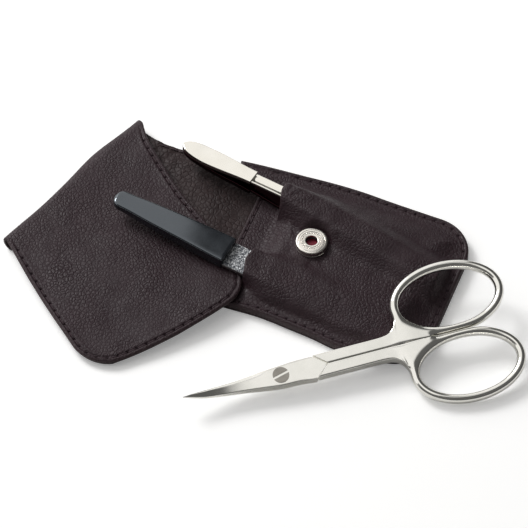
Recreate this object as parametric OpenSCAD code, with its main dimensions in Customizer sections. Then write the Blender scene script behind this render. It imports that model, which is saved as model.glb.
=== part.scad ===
// Manicure set case: an open leather case with its tweezers, nail file and nail scissors.
// X runs from the flap's fold to the pocket's closed end, Y across the case, Z up.
// The origin is on the table, under the middle of the pocket.

/* [Case] */
// Length of the pocket, from its mouth to its closed end
pocket_len = 58.6; // [57:0.2:62]
// Width of the leather strip that the case is cut from
case_w = 47.5; // [45:0.5:52]
// Radius of the pocket's two closed corners
corner_r = 10.6; // [9:0.2:14]
// Distance from the pocket's mouth back to the middle of the flap's fold
back_free = 46.7; // [45:0.1:52]
// Sideways drift of the soft leather strip at the fold
fold_drift = 1.6; // [0:0.1:2]
// Angle of the flap's fold away from square
fold_skew = 20; // [18:0.5:22]
// Length of the flap on its middle line, from the fold to the free end
flap_len = 55.4; // [54:0.2:57.6]
// Radius of the flap's two free corners
flap_r = 8.5; // [5:0.5:9]
// Angle of the line where the flap bends over the edge of the case
bend_angle = 1.5; // [1:0.5:2.5]
// Thickness of the outer leather
leather_t = 0.9; // [0.7:0.05:1.1]
// Thickness of the lining
lining_t = 0.4; // [0.3:0.05:0.5]
// Height of the hollow of the main pocket, when it lies empty
pocket_gap = 0.3; // [0.2:0.05:0.6]
// Width of the glued and stitched edge of the pocket
seam_w = 2; // [1.5:0.1:3]
// Rise of the front panel where it stands over the tools
dome_h = 3.1; // [2.6:0.1:3.5]

/* [Stitching] */
// Distance from the leather's edge to the stitches
stitch_inset = 1.3; // [1.1:0.1:1.6]
// Distance from one stitch to the next
stitch_pitch = 2.7; // [2.2:0.1:3.5]
// Length of thread that shows in one stitch
stitch_len = 1.9; // [1.4:0.1:2.1]
// Diameter of the thread
thread_d = 0.36; // [0.25:0.01:0.45]

/* [Clasp] */
// Distance from the pocket's mouth to the middle of the clasp
clasp_from_mouth = 19.7; // [18.5:0.1:21]
// Distance of the clasp from the middle line of the case
clasp_side = 1.2; // [0:0.1:1.5]
// Diameter of the clasp's cover
clasp_d = 8.4; // [8:0.1:9.6]
// Height of the clasp above the leather
clasp_h = 1.8; // [1.8:0.1:3]
// Diameter of the recess that takes the stud
recess_d = 3.2; // [2.8:0.1:3.6]
// Distance from the flap's free end to the middle of the stud
stud_from_end = 12; // [10:0.5:13]
// Diameter of the stud's plate
stud_plate_d = 8.4; // [8:0.1:9]
// Height of the stud's boss
stud_h = 1; // [0.7:0.1:1.1]

/* [Tweezers] */
// Whole length
tweezers_len = 78; // [76:0.5:79]
// Length that stands out of the slit
tweezers_out = 30.9; // [30:0.1:32]
// Length of the broad flat head
tweezers_head_len = 22; // [20:0.5:24]
// Greatest width of the head
tweezers_head_w = 5.2; // [4.6:0.1:5.8]
// Width of an arm
arm_w = 3.2; // [3:0.1:3.8]
// Width of the tips
tip_w = 2.4; // [1.8:0.1:3]
// Thickness of each half at the head
head_t = 1.4; // [1.1:0.05:1.6]
// Thickness of an arm
arm_t = 0.9; // [0.7:0.05:1]
// Length of the welded end, where the halves are joined
weld_len = 7; // [5:0.5:9]
// Greatest opening between the arms
arm_gap = 4.5; // [4:0.1:4.8]
// Opening between the tips
tip_gap = 1.8; // [1.4:0.1:2]
// Place of the tweezers across the case, at their slit
tweezers_y = 12.4; // [12:0.1:12.8]
// Direction of the tweezers, seen from above
tweezers_angle = -10.5; // [-11:0.1:-10]
// Fall of the tweezers towards the tips
tweezers_fall = 3; // [2.6:0.1:3.1]

/* [Nail file] */
// Length of the handle
handle_len = 34.4; // [30:0.2:36]
// Width of the handle at the blade
handle_w = 8.2; // [7.8:0.1:8.6]
// Width of the handle at its free end
handle_end_w = 5.2; // [4.4:0.1:6]
// Thickness of the handle at the blade
handle_t = 3.8; // [3.4:0.1:4.2]
// Thickness of the handle at its free end
handle_end_t = 2.4; // [2:0.1:3]
// Length of the blade outside the handle
blade_len = 44.5; // [42:0.5:46]
// Width of the blade at the handle
blade_w = 7.8; // [7.2:0.1:8]
// Width of the blade at its tip
blade_tip_w = 3.2; // [2.6:0.1:4]
// Thickness of the steel of the blade
blade_t = 0.8; // [0.6:0.05:1]
// Thickness of the grit on each side of the blade
grit_t = 0.15; // [0.1:0.01:0.2]
// Length of the tang inside the handle
tang_len = 24; // [18:0.5:27]
// Width of the tang
tang_w = 4; // [3:0.1:4.6]
// Length of blade that shows between the handle and its slit
blade_out = 4.8; // [4.4:0.1:5.2]
// Place of the file across the case, at the handle's end
file_y = -9.8; // [-10.1:0.1:-9.5]
// Direction of the file, seen from above
file_angle = -7.1; // [-7.6:0.1:-6.6]
// Fall of the file towards its tip
file_fall = 4.3; // [4.1:0.1:4.5]

/* [Scissors] */
// Distance from the screw to the tip
blade_reach = 26; // [24:0.2:27]
// Width of the blades beside the screw
sc_blade_w = 5.6; // [5:0.1:6]
// Width of one shank
shank_w = 3.1; // [2.8:0.1:3.4]
// Thickness of a shank
shank_t = 3; // [2.6:0.1:3]
// Distance from the screw to the middle of the finger rings
ring_x = 47.4; // [45:0.2:49]
// Length of a finger ring, outside
ring_len = 30.6; // [29:0.2:33]
// Width of a finger ring, outside
ring_w = 20.4; // [19.6:0.2:21]
// Width of the bar that a finger ring is made of
ring_bar = 2.4; // [2.2:0.1:2.9]
// Radius of the sweep that the blades curve up in
blade_curve_r = 92; // [85:1:140]
// Diameter of the screw's head
screw_head_d = 4.3; // [3.8:0.1:4.6]
// Diameter of the screw's shaft
screw_d = 2.4; // [2:0.1:2.8]
// Direction of the scissors, seen from above
sc_angle = 37; // [36.4:0.2:37.6]
// Rise of the scissors towards the rings
sc_pitch = 2.6; // [2.4:0.1:2.8]
// Sideways lean of the scissors
sc_roll = 12.8; // [12.5:0.1:13.2]
// Place of the screw along the case
sc_x = -2.5; // [-3:0.1:-2.2]
// Distance of the screw from the case's near edge
sc_beside = 15.75; // [15.55:0.1:16.05]

/* [Hidden] */
$fn = 48;

// a film of air between pieces that lie on each other
film = 0.05;
// how far the parts of one outline run into each other
lap = 0.3;
// room round a tool inside the leather
ease_fit = 0.3;
// a size larger than the whole object, for cutting planes
far = 200;

// levels, from the table up
back_top = leather_t + lining_t;
sleeve_z0 = back_top + pocket_gap;
sleeve_z1 = sleeve_z0 + lining_t;
panel_z0 = sleeve_z1 + film;
panel_z1 = panel_z0 + leather_t;
flap_lift = 0.45;
flap_z0 = panel_z1 + flap_lift;
flap_zm = flap_z0 + lining_t;
flap_z1 = flap_zm + leather_t;
fold_r = flap_z1 / 2;

// places along the case
mouth_x = -pocket_len / 2;
end_x = pocket_len / 2;
fold_x = mouth_x - back_free;
fold_y = -fold_drift;
half_w = case_w / 2;
fold_lean = tan(fold_skew);

// the line where the flap bends down over the case's edge, from the fold's near corner
bend_at = [fold_x - fold_lean * half_w, fold_y - half_w];
bend_gap = 0.2;
// the flap's far corner, and how low it may hang
flap_corner = flap_point([flap_len, -half_w]);
corner_reach = abs(-(flap_corner[0] - bend_at[0]) * sin(bend_angle)
  + (flap_corner[1] - bend_at[1]) * cos(bend_angle));
table_gap = 0.4;
droop = asin((flap_z0 - table_gap) / corner_reach);

function flap_point(p) = [
  fold_x + p[0] * cos(2 * fold_skew) + p[1] * sin(2 * fold_skew),
  fold_y - p[0] * sin(2 * fold_skew) + p[1] * cos(2 * fold_skew)
];
function clamp01(u) = min(1, max(0, u));
function ease(u) = let (c = clamp01(u)) c * c * (3 - 2 * c);
function mix(a, b, u) = a + (b - a) * u;

// ---------------------------------------------------------------- leather outlines

// the pocket's plan: square at the mouth, rounded at the closed end
module pocket_outline(inset = 0) {
  r = corner_r - inset;
  hw = half_w - inset;
  translate([mouth_x, -hw]) square([pocket_len - corner_r, 2 * hw]);
  translate([mouth_x, corner_r - half_w]) square([pocket_len - inset, case_w - 2 * corner_r]);
  for (side = [-1, 1])
    translate([end_x - corner_r, side * (half_w - corner_r)]) circle(r);
}

// the back's free half, from the mouth to the fold
module free_back_outline() {
  polygon([
    [mouth_x + film, half_w], [fold_x + fold_lean * half_w, fold_y + half_w],
    [fold_x - fold_lean * half_w, fold_y - half_w], [mouth_x + film, -half_w]
  ]);
}

// the flap's plan in its own frame: the fold at the left, the rounded free end at the right
module flap_outline(inset = 0) {
  r = flap_r - inset;
  hw = half_w - inset;
  run = flap_len - flap_r;
  polygon([[-fold_lean * hw, hw], [fold_lean * hw, -hw], [run, -hw], [run, hw]]);
  translate([run - film, flap_r - half_w]) square([flap_r - inset + film, case_w - 2 * flap_r]);
  for (side = [-1, 1])
    translate([run, side * (half_w - flap_r)]) circle(r);
}

module at_flap() {
  translate([fold_x, fold_y, 0]) rotate(-2 * fold_skew) children();
}

// everything on the flap's side of the bend line
module beyond_bend(gap) {
  translate(bend_at) rotate(bend_angle) translate([-far / 2, -far - gap]) square([far, far]);
}

// the flap's end hangs down over the edge of the case, to just above the table
module drooped() {
  translate([bend_at[0], bend_at[1], flap_z1]) rotate(bend_angle) rotate([droop, 0, 0])
    rotate(-bend_angle) translate([-bend_at[0], -bend_at[1], -flap_z1]) children();
}

// the roll of the fold: half a tube between two radii, along the fold's line
module fold_roll(r_in, r_out) {
  roll_len = case_w / cos(fold_skew) - 2 * film;
  translate([fold_x, fold_y, fold_r]) rotate(-fold_skew) rotate([90, 0, 0])
    translate([0, 0, -roll_len / 2]) linear_extrude(roll_len) difference() {
      circle(r_out);
      circle(r_in);
      translate([lap, -far / 2]) square([far / 2, far]);
    }
}

// ---------------------------------------------------------------- stitches

// a point and a heading at distance d along a U: run, corner, middle run, corner, run
function u_path(d, run, r, middle) =
  let (q = r * PI / 2)
  d < run ? [d, 0, 0] :
  d < run + q ? let (t = (d - run) / r * 180 / PI) [run + r * sin(t), r * cos(t) - r, -t] :
  d < run + q + middle ? [run + r, run + q - r - d, -90] :
  d < run + 2 * q + middle ?
    let (t = (d - run - q - middle) / r * 180 / PI)
    [run + r * cos(t), -r - middle - r * sin(t), -90 - t] :
  [2 * run + 2 * q + middle - d, -2 * r - middle, 180];

// one stitch of thread, lying along X with its underside at z
module stitch(z) {
  translate([-stitch_len / 2, 0, z + thread_d / 2]) rotate([0, 90, 0])
    cylinder(h = stitch_len, d = thread_d, $fn = 8);
}

// the groove that the flap's stitches are pulled down into
groove_w = 1.6 * thread_d;
groove_depth = 0.8 * thread_d;
module flap_groove() {
  translate([0, 0, flap_z1 - groove_depth]) linear_extrude(1) intersection() {
    difference() {
      flap_outline(stitch_inset - groove_w / 2);
      flap_outline(stitch_inset + groove_w / 2);
    }
    translate([fold_lean * half_w + stitch_inset, -far / 2]) square([far, far]);
  }
  translate([0, 0, flap_z1 - groove_depth]) linear_extrude(1)
    translate([groove_w - fold_lean * half_w + 2 * stitch_inset, half_w - stitch_inset - groove_w / 2])
      square([2 * fold_lean * half_w, groove_w]);
}

// the flap's stitches that lie on one side of the bend line: side 1 on the case, -1 beyond it
module flap_stitches(side) {
  start = 3 * stitch_inset - fold_lean * half_w;
  run = flap_len - flap_r - start;
  r = flap_r - stitch_inset;
  middle = case_w - 2 * flap_r;
  low_run = flap_len - flap_r - fold_lean * half_w - 2 * stitch_inset;
  total = run + r * PI + middle + low_run;
  for (d = [stitch_len / 2 : stitch_pitch : total - stitch_len / 2]) {
    p = u_path(d, run, r, middle);
    at = flap_point([start + p[0], half_w - stitch_inset + p[1]]);
    over = -(at[0] - bend_at[0]) * sin(bend_angle) + (at[1] - bend_at[1]) * cos(bend_angle);
    if (side * over > 2 * stitch_inset + stitch_len / 2 + film)
      translate([at[0], at[1], 0]) rotate(p[2] - 2 * fold_skew)
        stitch(flap_z1 - groove_depth + film / 2);
  }
}

// ---------------------------------------------------------------- the case

module case_leather() {
  color([0.27, 0.22, 0.23]) difference() {
    union() {
      linear_extrude(leather_t) {
        pocket_outline();
        free_back_outline();
      }
      fold_roll(fold_r - leather_t, fold_r);
      translate([0, 0, flap_zm]) linear_extrude(leather_t) difference() {
        at_flap() flap_outline();
        beyond_bend(0);
      }
    }
    difference() {
      at_flap() flap_groove();
      linear_extrude(far) beyond_bend(-2 * stitch_inset);
    }
  }
}

module case_lining() {
  color([0.22, 0.17, 0.17]) {
    translate([0, 0, leather_t]) linear_extrude(lining_t) {
      pocket_outline();
      free_back_outline();
    }
    fold_roll(fold_r - back_top, fold_r - leather_t);
    translate([0, 0, flap_z0]) linear_extrude(lining_t) difference() {
      at_flap() flap_outline();
      beyond_bend(0);
    }
  }
}

// stitches down both edges of the back's free half, seen on its lining
module seam_back() {
  color([0.2, 0.1, 0.13])
    for (side = [-1, 1]) {
      corner_x = fold_x + side * fold_lean * half_w;
      run = mouth_x - corner_x;
      slant = atan(fold_drift / run);
      for (d = [stitch_len : stitch_pitch : run - 3 * fold_r])
        translate([mouth_x, side * (half_w - stitch_inset), 0]) rotate(slant) translate([-d, 0, 0])
          stitch(back_top + film / 2);
    }
}

// the divider between the main pocket below and the tools' sleeves above
module sleeve_lining() {
  color([0.22, 0.17, 0.17]) {
    translate([0, 0, sleeve_z0]) linear_extrude(lining_t) pocket_outline();
    translate([0, 0, back_top + film]) linear_extrude(pocket_gap) difference() {
      pocket_outline();
      pocket_outline(seam_w);
    }
  }
}

// ---------------------------------------------------------------- the front panel

// where each tool's line crosses its slit, and how the tools stand there
arm_hw = arm_w / 2;
tweezers_at = [mouth_x + 7, tweezers_y];
tweezers_z = panel_z1 + ease_fit + arm_gap / 2 + arm_t;
blade_drop = 0.5;
blade_z = flap_z1 + ease_fit / 2 + handle_t / 2 - blade_drop;
file_at = [mouth_x + 0.7, file_y];

// distance along and across a tool's line, from a point on it
function along(x, y, p, angle) = (x - p[0]) * cos(angle) + (y - p[1]) * sin(angle);
function across(x, y, p, angle) = (y - p[1]) * cos(angle) - (x - p[0]) * sin(angle);

// half of the opening between the tweezers' arms, at distance s from the head's end
function half_gap(s) =
  s < weld_len ? film / 2 :
  s < tweezers_out ? mix(film, arm_gap, (s - weld_len) / (tweezers_out - weld_len)) / 2 :
  mix(tip_gap, arm_gap, cos(90 * (s - tweezers_out) / (tweezers_len - tweezers_out))) / 2;

// half of the blade's width at distance s from the handle
function half_blade(s) = mix(blade_w, blade_tip_w, clamp01(s / blade_len) ^ 1.6) / 2;

// half of the panel's width, which shrinks round the closed corners
function half_panel(x) =
  let (u = x - (end_x - corner_r))
  u <= 0 ? half_w : half_w - corner_r + sqrt(max(0, corner_r * corner_r - u * u));

// distance in from the stitched edges
function inside(x, y) = min(half_panel(x) - abs(y), end_x - x);

// the stitched edge stays flat this far in
flat_edge = seam_w + 0.6;

// the leather's top over the tweezers, over the file, and between them
flank = 1.7;
function over_tweezers(x, y) =
  let (s = along(x, y, tweezers_at, tweezers_angle))
  let (q = abs(across(x, y, tweezers_at, tweezers_angle)))
  let (tool = tweezers_z - s * tan(tweezers_fall) + half_gap(tweezers_out + max(0, s)) + arm_t)
  let (full = arm_hw + ease_fit + 0.5)
  let (side = 1 - ease((q - full) / (flank + 0.5 * ease(s / 8))))
  let (tip = 1 - ease((s - tweezers_len + tweezers_out - ease_fit) / 3))
  (tool + ease_fit + leather_t - panel_z1) * side * tip;
function over_file(x, y) =
  let (s = along(x, y, file_at, file_angle))
  let (q = abs(across(x, y, file_at, file_angle)))
  let (tool = blade_z - s * tan(file_fall) + blade_t / 2 + grit_t)
  let (full = half_blade(s) + ease_fit + 0.5)
  let (side = 1 - ease((q - full) / (0.7 + 2.7 * ease((s - blade_out) / 10))))
  let (tip = 1 - ease((s - blade_len - ease_fit) / 3))
  (tool + ease_fit + leather_t - panel_z1) * side * tip;
function dome(x, y) =
  dome_h * ease((x - mouth_x - 6) / 7) * ease((inside(x, y) - flat_edge) / 7.4)
  * (1 - 0.6 * ease((x - mouth_x - 27) / 24));
function panel_top(x, y, lipped) =
  panel_z1 + max(
    dome(x, y),
    lipped ? max(over_tweezers(x, y), over_file(x, y)) * ease((inside(x, y) - flat_edge) / seam_w) : 0
  );

// the two slits lie on one grid line that bows towards the mouth over each tool
slit_bow = 1;
slit_gap = 0.3;
tweezers_slit = 4.4;
file_slit = 5.2;
function slit_x(y) =
  mix(file_at[0] + blade_out + slit_bow, tweezers_at[0] + slit_bow, ease(y / half_w + 0.5))
  - slit_bow * (1 - ease(abs(y - tweezers_y) / tweezers_slit))
  - slit_bow * (1 - ease(abs(y - file_y) / file_slit));
function in_slit(y) =
  abs(y - tweezers_y) < tweezers_slit || abs(y - file_y + blade_out * sin(-file_angle)) < file_slit;

strip_cells = 3;
body_cells = 22;
cross_cells = 34;
columns = strip_cells + body_cells + 2;
rows = cross_cells + 1;
function row_v(j) = 2 * j / cross_cells - 1;
function column_x(i, y) =
  i <= strip_cells ? mix(mouth_x, slit_x(y) - slit_gap / 2, i / strip_cells) :
  mix(slit_x(y) + slit_gap / 2, end_x, (i - strip_cells - 1) / body_cells);
function panel_point(i, j, drop) =
  let (x = column_x(i, row_v(j) * half_w))
  let (y = row_v(j) * half_panel(x))
  [x, y, panel_top(x, y, i > strip_cells) - drop];
function solid_cell(i, j) =
  i >= 0 && i < columns - 1 && j >= 0 && j < rows - 1
  && !(i == strip_cells && in_slit((row_v(j) + row_v(j + 1)) / 2 * half_w));

module front_panel() {
  below = columns * rows;
  points = [
    for (drop = [0, leather_t]) for (i = [0 : columns - 1]) for (j = [0 : rows - 1])
      panel_point(i, j, drop)
  ];
  faces = [
    for (i = [0 : columns - 2]) for (j = [0 : rows - 2]) if (solid_cell(i, j))
      let (a = i * rows + j, b = a + rows, c = b + 1, d = a + 1)
      let (walls = [[a, b, i, j - 1], [b, c, i + 1, j], [c, d, i, j + 1], [d, a, i - 1, j]])
      each concat(
        [[a, d, c], [a, c, b], [below + a, below + c, below + d], [below + a, below + b, below + c]],
        [for (w = walls) if (!solid_cell(w[2], w[3])) each [
          [w[0], w[1], below + w[1]], [w[0], below + w[1], below + w[0]]
        ]]
      )
  ];
  color([0.27, 0.22, 0.23]) difference() {
    polyhedron(points, faces);
    translate([clasp_at[0], clasp_at[1], 0]) prong_pair(prong_t + 2 * film, prong_w + 2 * film, 20);
  }
}

// stitches along the pocket's two sides and its closed end
module seam_pocket() {
  start = mouth_x + stitch_len;
  run = end_x - corner_r - start;
  r = corner_r - stitch_inset;
  middle = case_w - 2 * corner_r;
  total = 2 * run + r * PI + middle;
  color([0.2, 0.1, 0.13])
    for (d = [stitch_len / 2 : stitch_pitch : total - stitch_len / 2]) {
      p = u_path(d, run, r, middle);
      translate([start + p[0], half_w - stitch_inset + p[1], 0]) rotate(p[2]) stitch(panel_z1 + film / 2);
    }
}

// stitches along the mouth's hem, which stop under the flap's corner
module seam_mouth() {
  color([0.2, 0.1, 0.13])
    for (y = [-8 : stitch_pitch : half_w - 2 * stitch_pitch])
      translate([mouth_x + stitch_inset, y, 0]) rotate(90) stitch(panel_z1 + film / 2);
}

// ---------------------------------------------------------------- the clasp

clasp_at = [mouth_x + clasp_from_mouth, clasp_side];
clasp_z = panel_z1 + dome_h + film;
prong_t = 0.4;
prong_w = 1.6;
prong_x = clasp_d / 4;
plate_t = 0.4;
washer_t = 0.3;
cover_t = 0.3;

module at_clasp() {
  translate([clasp_at[0], clasp_at[1], clasp_z]) children();
}

// two flat prongs that stand either side of the clasp's middle
module prong_pair(t, w, h) {
  for (side = [-1, 1])
    translate([side * prong_x - t / 2, -w / 2, 0]) cube([t, w, h]);
}

// a washer with a slot for each prong
module slotted_washer(d, t) {
  difference() {
    cylinder(h = t, d = d);
    translate([0, 0, -film]) prong_pair(prong_t + 2 * film, prong_w + 2 * film, t + 2 * film);
  }
}

// prongs that pass through the leather and a washer, and turn in flat behind it
module turned_prongs(through, tab_t) {
  translate([0, 0, -through - tab_t]) {
    prong_pair(prong_t, prong_w, through + tab_t);
    for (side = [-1, 1])
      translate([side > 0 ? prong_t / 2 : prong_t / 2 - prong_x, -prong_w / 2, 0])
        cube([prong_x - prong_t, prong_w, tab_t]);
  }
}

module clasp_cover() {
  r = clasp_d / 2;
  color([0.8, 0.78, 0.76]) at_clasp() rotate_extrude() {
    polygon([
      [r - cover_t, 0], [r, 0], [r, clasp_h - 0.5], [r - 0.5, clasp_h],
      [recess_d / 2, clasp_h], [recess_d / 2, clasp_h - 2 * cover_t],
      [recess_d / 2 + cover_t, clasp_h - 2 * cover_t], [recess_d / 2 + cover_t, clasp_h - cover_t],
      [r - 0.5 - film, clasp_h - cover_t], [r - cover_t, clasp_h - 0.5 - cover_t]
    ]);
    translate([recess_d / 2 + 0.9, clasp_h]) circle(0.25, $fn = 16);
  }
}

module clasp_magnet() {
  color([0.25, 0.25, 0.27]) at_clasp() translate([0, 0, plate_t + film]) difference() {
    cylinder(h = clasp_h - 2 * cover_t - plate_t - 3 * film, d = clasp_d - 2 * cover_t - 0.6);
    translate([0, 0, -1]) cylinder(h = clasp_h + 2, d = recess_d);
  }
}

module clasp_base() {
  color([0.6, 0.58, 0.56]) at_clasp() {
    cylinder(h = plate_t, d = clasp_d - 2 * cover_t - 0.2);
    turned_prongs(leather_t + 2 * film + washer_t, washer_t);
  }
}

module clasp_washer() {
  color([0.6, 0.58, 0.56]) at_clasp() translate([0, 0, -leather_t - 2 * film - washer_t + film / 2])
    slotted_washer(clasp_d - 2, washer_t - film);
}

// ---------------------------------------------------------------- the flap

module seam_flap() {
  color([0.2, 0.1, 0.13]) flap_stitches(1);
}

stud_washer_d = stud_plate_d - 2;
stud_room = 0.55;
module at_stud() {
  drooped() at_flap() translate([flap_len - stud_from_end, 0, 0]) children();
}

module flap_end_leather() {
  color([0.27, 0.22, 0.23]) difference() {
    drooped() difference() {
      translate([0, 0, flap_zm]) linear_extrude(leather_t) intersection() {
        at_flap() flap_outline();
        beyond_bend(bend_gap);
      }
      intersection() {
        at_flap() flap_groove();
        linear_extrude(far) beyond_bend(2 * stitch_inset);
      }
    }
    at_stud() translate([0, 0, flap_zm - film]) cylinder(h = stud_room + film, d = stud_washer_d + 0.4);
  }
}

module flap_end_lining() {
  color([0.22, 0.17, 0.17]) difference() {
    drooped() translate([0, 0, flap_z0]) linear_extrude(lining_t) intersection() {
      at_flap() flap_outline();
      beyond_bend(bend_gap);
    }
    at_stud() translate([0, 0, flap_z0 - 1])
      prong_pair(prong_t + 2 * film, prong_w + 2 * film, lining_t + 2);
  }
}

module seam_flap_end() {
  color([0.2, 0.1, 0.13]) drooped() flap_stitches(-1);
}

// the stud: a plate and a boss under the flap, with its prongs up through the lining
module stud_plate() {
  plate = 0.7;
  color([0.7, 0.68, 0.66]) at_stud() translate([0, 0, flap_z0 - film]) mirror([0, 0, 1]) {
    cylinder(h = plate, d = stud_plate_d);
    cylinder(h = plate + stud_h, d = recess_d - 0.4);
    turned_prongs(lining_t + stud_room / 2 + film, 0.2);
  }
}

module stud_washer() {
  color([0.6, 0.58, 0.56]) at_stud() translate([0, 0, flap_zm + film / 2])
    slotted_washer(stud_washer_d, stud_room / 2 - film);
}

// ---------------------------------------------------------------- the tweezers

module at_tweezers() {
  translate([tweezers_at[0], tweezers_at[1], tweezers_z]) rotate([0, tweezers_fall, tweezers_angle])
    translate([-tweezers_out, 0, 0]) children();
}

// half of the tweezers' width at distance s from the head's end
function half_width(s) =
  let (round_len = 9)
  s < round_len ? tweezers_head_w / 2 * sqrt(1 - (1 - s / round_len) ^ 2.5) :
  s <= tweezers_head_len ?
    mix(tweezers_head_w / 2, arm_hw + 0.35, ease((s - round_len) / (tweezers_head_len - round_len))) :
  mix(arm_hw, tip_w / 2, ease((s - tweezers_head_len - 20) / (tweezers_len - tweezers_head_len - 20)));

// one half seen from above
module half_plan() {
  head = [for (s = [0, 0.2, 0.6, 1.2, 2, 3, 4.5, 6.5]) [s, half_width(s)]];
  flank_run = [for (s = [9 : 3.25 : tweezers_head_len - 1]) [s, half_width(s)]];
  arm = [for (k = [0 : 8]) let (s = mix(tweezers_head_len + 0.01, tweezers_len, k / 8)) [s, half_width(s)]];
  side = concat(head, flank_run, [[tweezers_head_len, half_width(tweezers_head_len)]], arm);
  last = len(side) - 1;
  polygon(concat(side, [for (k = [0 : last - 1]) [side[last - k][0], -side[last - k][1]]]));
}

// one half seen from the side: its inner face, and its outer face a thickness away
module half_side() {
  inner = concat(
    [[0, half_gap(0)], [weld_len, half_gap(weld_len - film)], [tweezers_out, half_gap(tweezers_out)]],
    [for (k = [1 : 8]) let (s = mix(tweezers_out, tweezers_len, k / 8)) [s, half_gap(s)]]
  );
  rest = tweezers_len - tweezers_out;
  outer = concat(
    [for (k = [8 : -1 : 0])
      let (s = mix(tweezers_out, tweezers_len, k / 8))
      [s, half_gap(s) + arm_t - 0.3 * ((s - tweezers_out) / rest) ^ 2]],
    [[tweezers_head_len, half_gap(tweezers_head_len) + arm_t],
     [tweezers_head_len, half_gap(tweezers_head_len) + head_t],
     [weld_len, half_gap(0) + head_t], [0, half_gap(0) + head_t]]
  );
  polygon(concat(inner, outer));
}

module tweezers_half() {
  intersection() {
    translate([0, 0, -20]) linear_extrude(40) half_plan();
    translate([0, 20, 0]) rotate([90, 0, 0]) linear_extrude(40) half_side();
  }
}

module tweezers_upper_half() {
  color([0.86, 0.86, 0.83]) at_tweezers() tweezers_half();
}

module tweezers_lower_half() {
  color([0.86, 0.86, 0.83]) at_tweezers() mirror([0, 0, 1]) tweezers_half();
}

// ---------------------------------------------------------------- the nail file

module at_file() {
  translate([file_at[0], file_at[1], blade_z]) rotate([0, file_fall, file_angle]) children();
}

module handle_plan() {
  r = handle_end_w / 2;
  polygon([
    [0, -handle_w / 2], [0, handle_w / 2], [-0.3 * handle_len, handle_w / 2 - 0.35],
    [r - handle_len, r], [r - handle_len, -r], [-0.3 * handle_len, -handle_w / 2 + 0.35]
  ]);
  translate([r - handle_len + lap, 0]) circle(r);
}

module handle_side() {
  z = blade_drop;
  end_r = handle_end_t / 2;
  lift = 0.3;
  polygon([
    [0, z - handle_t / 2], [0, z + handle_t / 2], [-0.35 * handle_len, z + handle_t / 2],
    [end_r - handle_len, z + lift + end_r], [end_r - handle_len, z + lift - end_r],
    [-0.35 * handle_len, z - handle_t / 2]
  ]);
  translate([end_r - handle_len + lap, z + lift]) circle(end_r);
}

module file_handle() {
  color([0.05, 0.05, 0.06]) at_file() difference() {
    intersection() {
      translate([0, 0, -10]) linear_extrude(20) handle_plan();
      translate([0, 10, 0]) rotate([90, 0, 0]) linear_extrude(20) handle_side();
    }
    translate([-tang_len - film, -tang_w / 2 - film, -blade_t / 2 - film])
      cube([tang_len + 1, tang_w + 2 * film, blade_t + 2 * film]);
  }
}

// the blade's plan outside the handle: tapered, with a round tip
module blade_plan(inset) {
  tip_r = blade_tip_w / 2;
  straight = blade_len - tip_r;
  xs = [for (k = [0 : 8]) mix(film, straight, k / 8)];
  side = [for (x = xs) [x, inset - half_blade(x)]];
  polygon(concat(side, [for (k = [8 : -1 : 0]) [side[k][0], -side[k][1]]]));
  translate([straight - lap, 0]) circle(half_blade(straight) - inset);
}

module file_blade() {
  color([0.6, 0.62, 0.64]) at_file() {
    translate([0, 0, -blade_t / 2]) linear_extrude(blade_t) blade_plan(0);
    translate([-tang_len, -tang_w / 2, -blade_t / 2]) cube([tang_len + 1, tang_w, blade_t]);
  }
}

module grit(z) {
  color([0.74, 0.77, 0.78]) at_file() translate([0, 0, z]) linear_extrude(grit_t - film / 2) blade_plan(0.1);
}

module file_grit_upper() {
  grit(blade_t / 2 + film / 2);
}

module file_grit_lower() {
  grit(-blade_t / 2 - grit_t);
}

// ---------------------------------------------------------------- the scissors

// the scissors lean on the case's edge: X from the screw to the rings, Y to the upper ring
sc_z = panel_z1 + 0.9;
module at_scissors() {
  translate([sc_x, -half_w - sc_beside, sc_z]) rotate([sc_roll, -sc_pitch, sc_angle]) children();
}

// the two blades share this plan when they are closed
module blade_outline() {
  up = sc_blade_w / 2;
  low = -sc_blade_w / 2;
  polygon([
    [8.8, up], [4, up], [-0.05 * blade_reach, up - 0.35], [-0.26 * blade_reach, up - 0.75],
    [-0.47 * blade_reach, up - 1.25], [-0.67 * blade_reach, up - 1.6], [-0.88 * blade_reach, up - 2.1],
    [-blade_reach, 0.4], [-blade_reach, 0.15], [-0.9 * blade_reach, low + 2.45],
    [-0.8 * blade_reach, low + 1.95], [-0.6 * blade_reach, low + 1.5], [-0.4 * blade_reach, low + 1.15],
    [-0.2 * blade_reach, low + 0.6], [0, low], [5, low - 0.15], [8.8, low - 0.6], [12.2, 0]
  ]);
}

// the surface between the blades, turned about the screw: flat by the screw, then curving up
flat_r = 3.2;
function sweep_z(r) = r < flat_r ? 0 : blade_curve_r - sqrt(blade_curve_r ^ 2 - (r - flat_r) ^ 2);
sweep_reach = blade_reach + 2;
stations = [for (k = [0 : 8]) mix(flat_r, sweep_reach, k / 8)];
module blade_layer(side) {
  thin = 0.5;
  gap = side * film / 2;
  skin = function (r) side * (shank_t / 2 - (shank_t / 2 - thin) * ease((r - flat_r) / (sweep_reach - flat_r)));
  rotate_extrude() polygon(concat(
    [[0, gap]], [for (r = stations) [r, sweep_z(r) + gap]],
    [for (k = [8 : -1 : 0]) [stations[k], sweep_z(stations[k]) + skin(stations[k])]],
    [[0, side * shank_t / 2]]
  ));
}

// everything below the middle surface
module below_sweep() {
  rotate_extrude() polygon(concat(
    [[0, -shank_t], [sweep_reach, -shank_t]],
    [for (k = [8 : -1 : 0]) [stations[k], sweep_z(stations[k]) + film / 2]],
    [[0, film / 2]]
  ));
}

// an oval of points, for a ring's outside and its finger hole
module oval(rx, ry) {
  steps = 40;
  polygon([for (k = [0 : steps - 1]) [rx * cos(360 * k / steps), ry * sin(360 * k / steps)]]);
}

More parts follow.
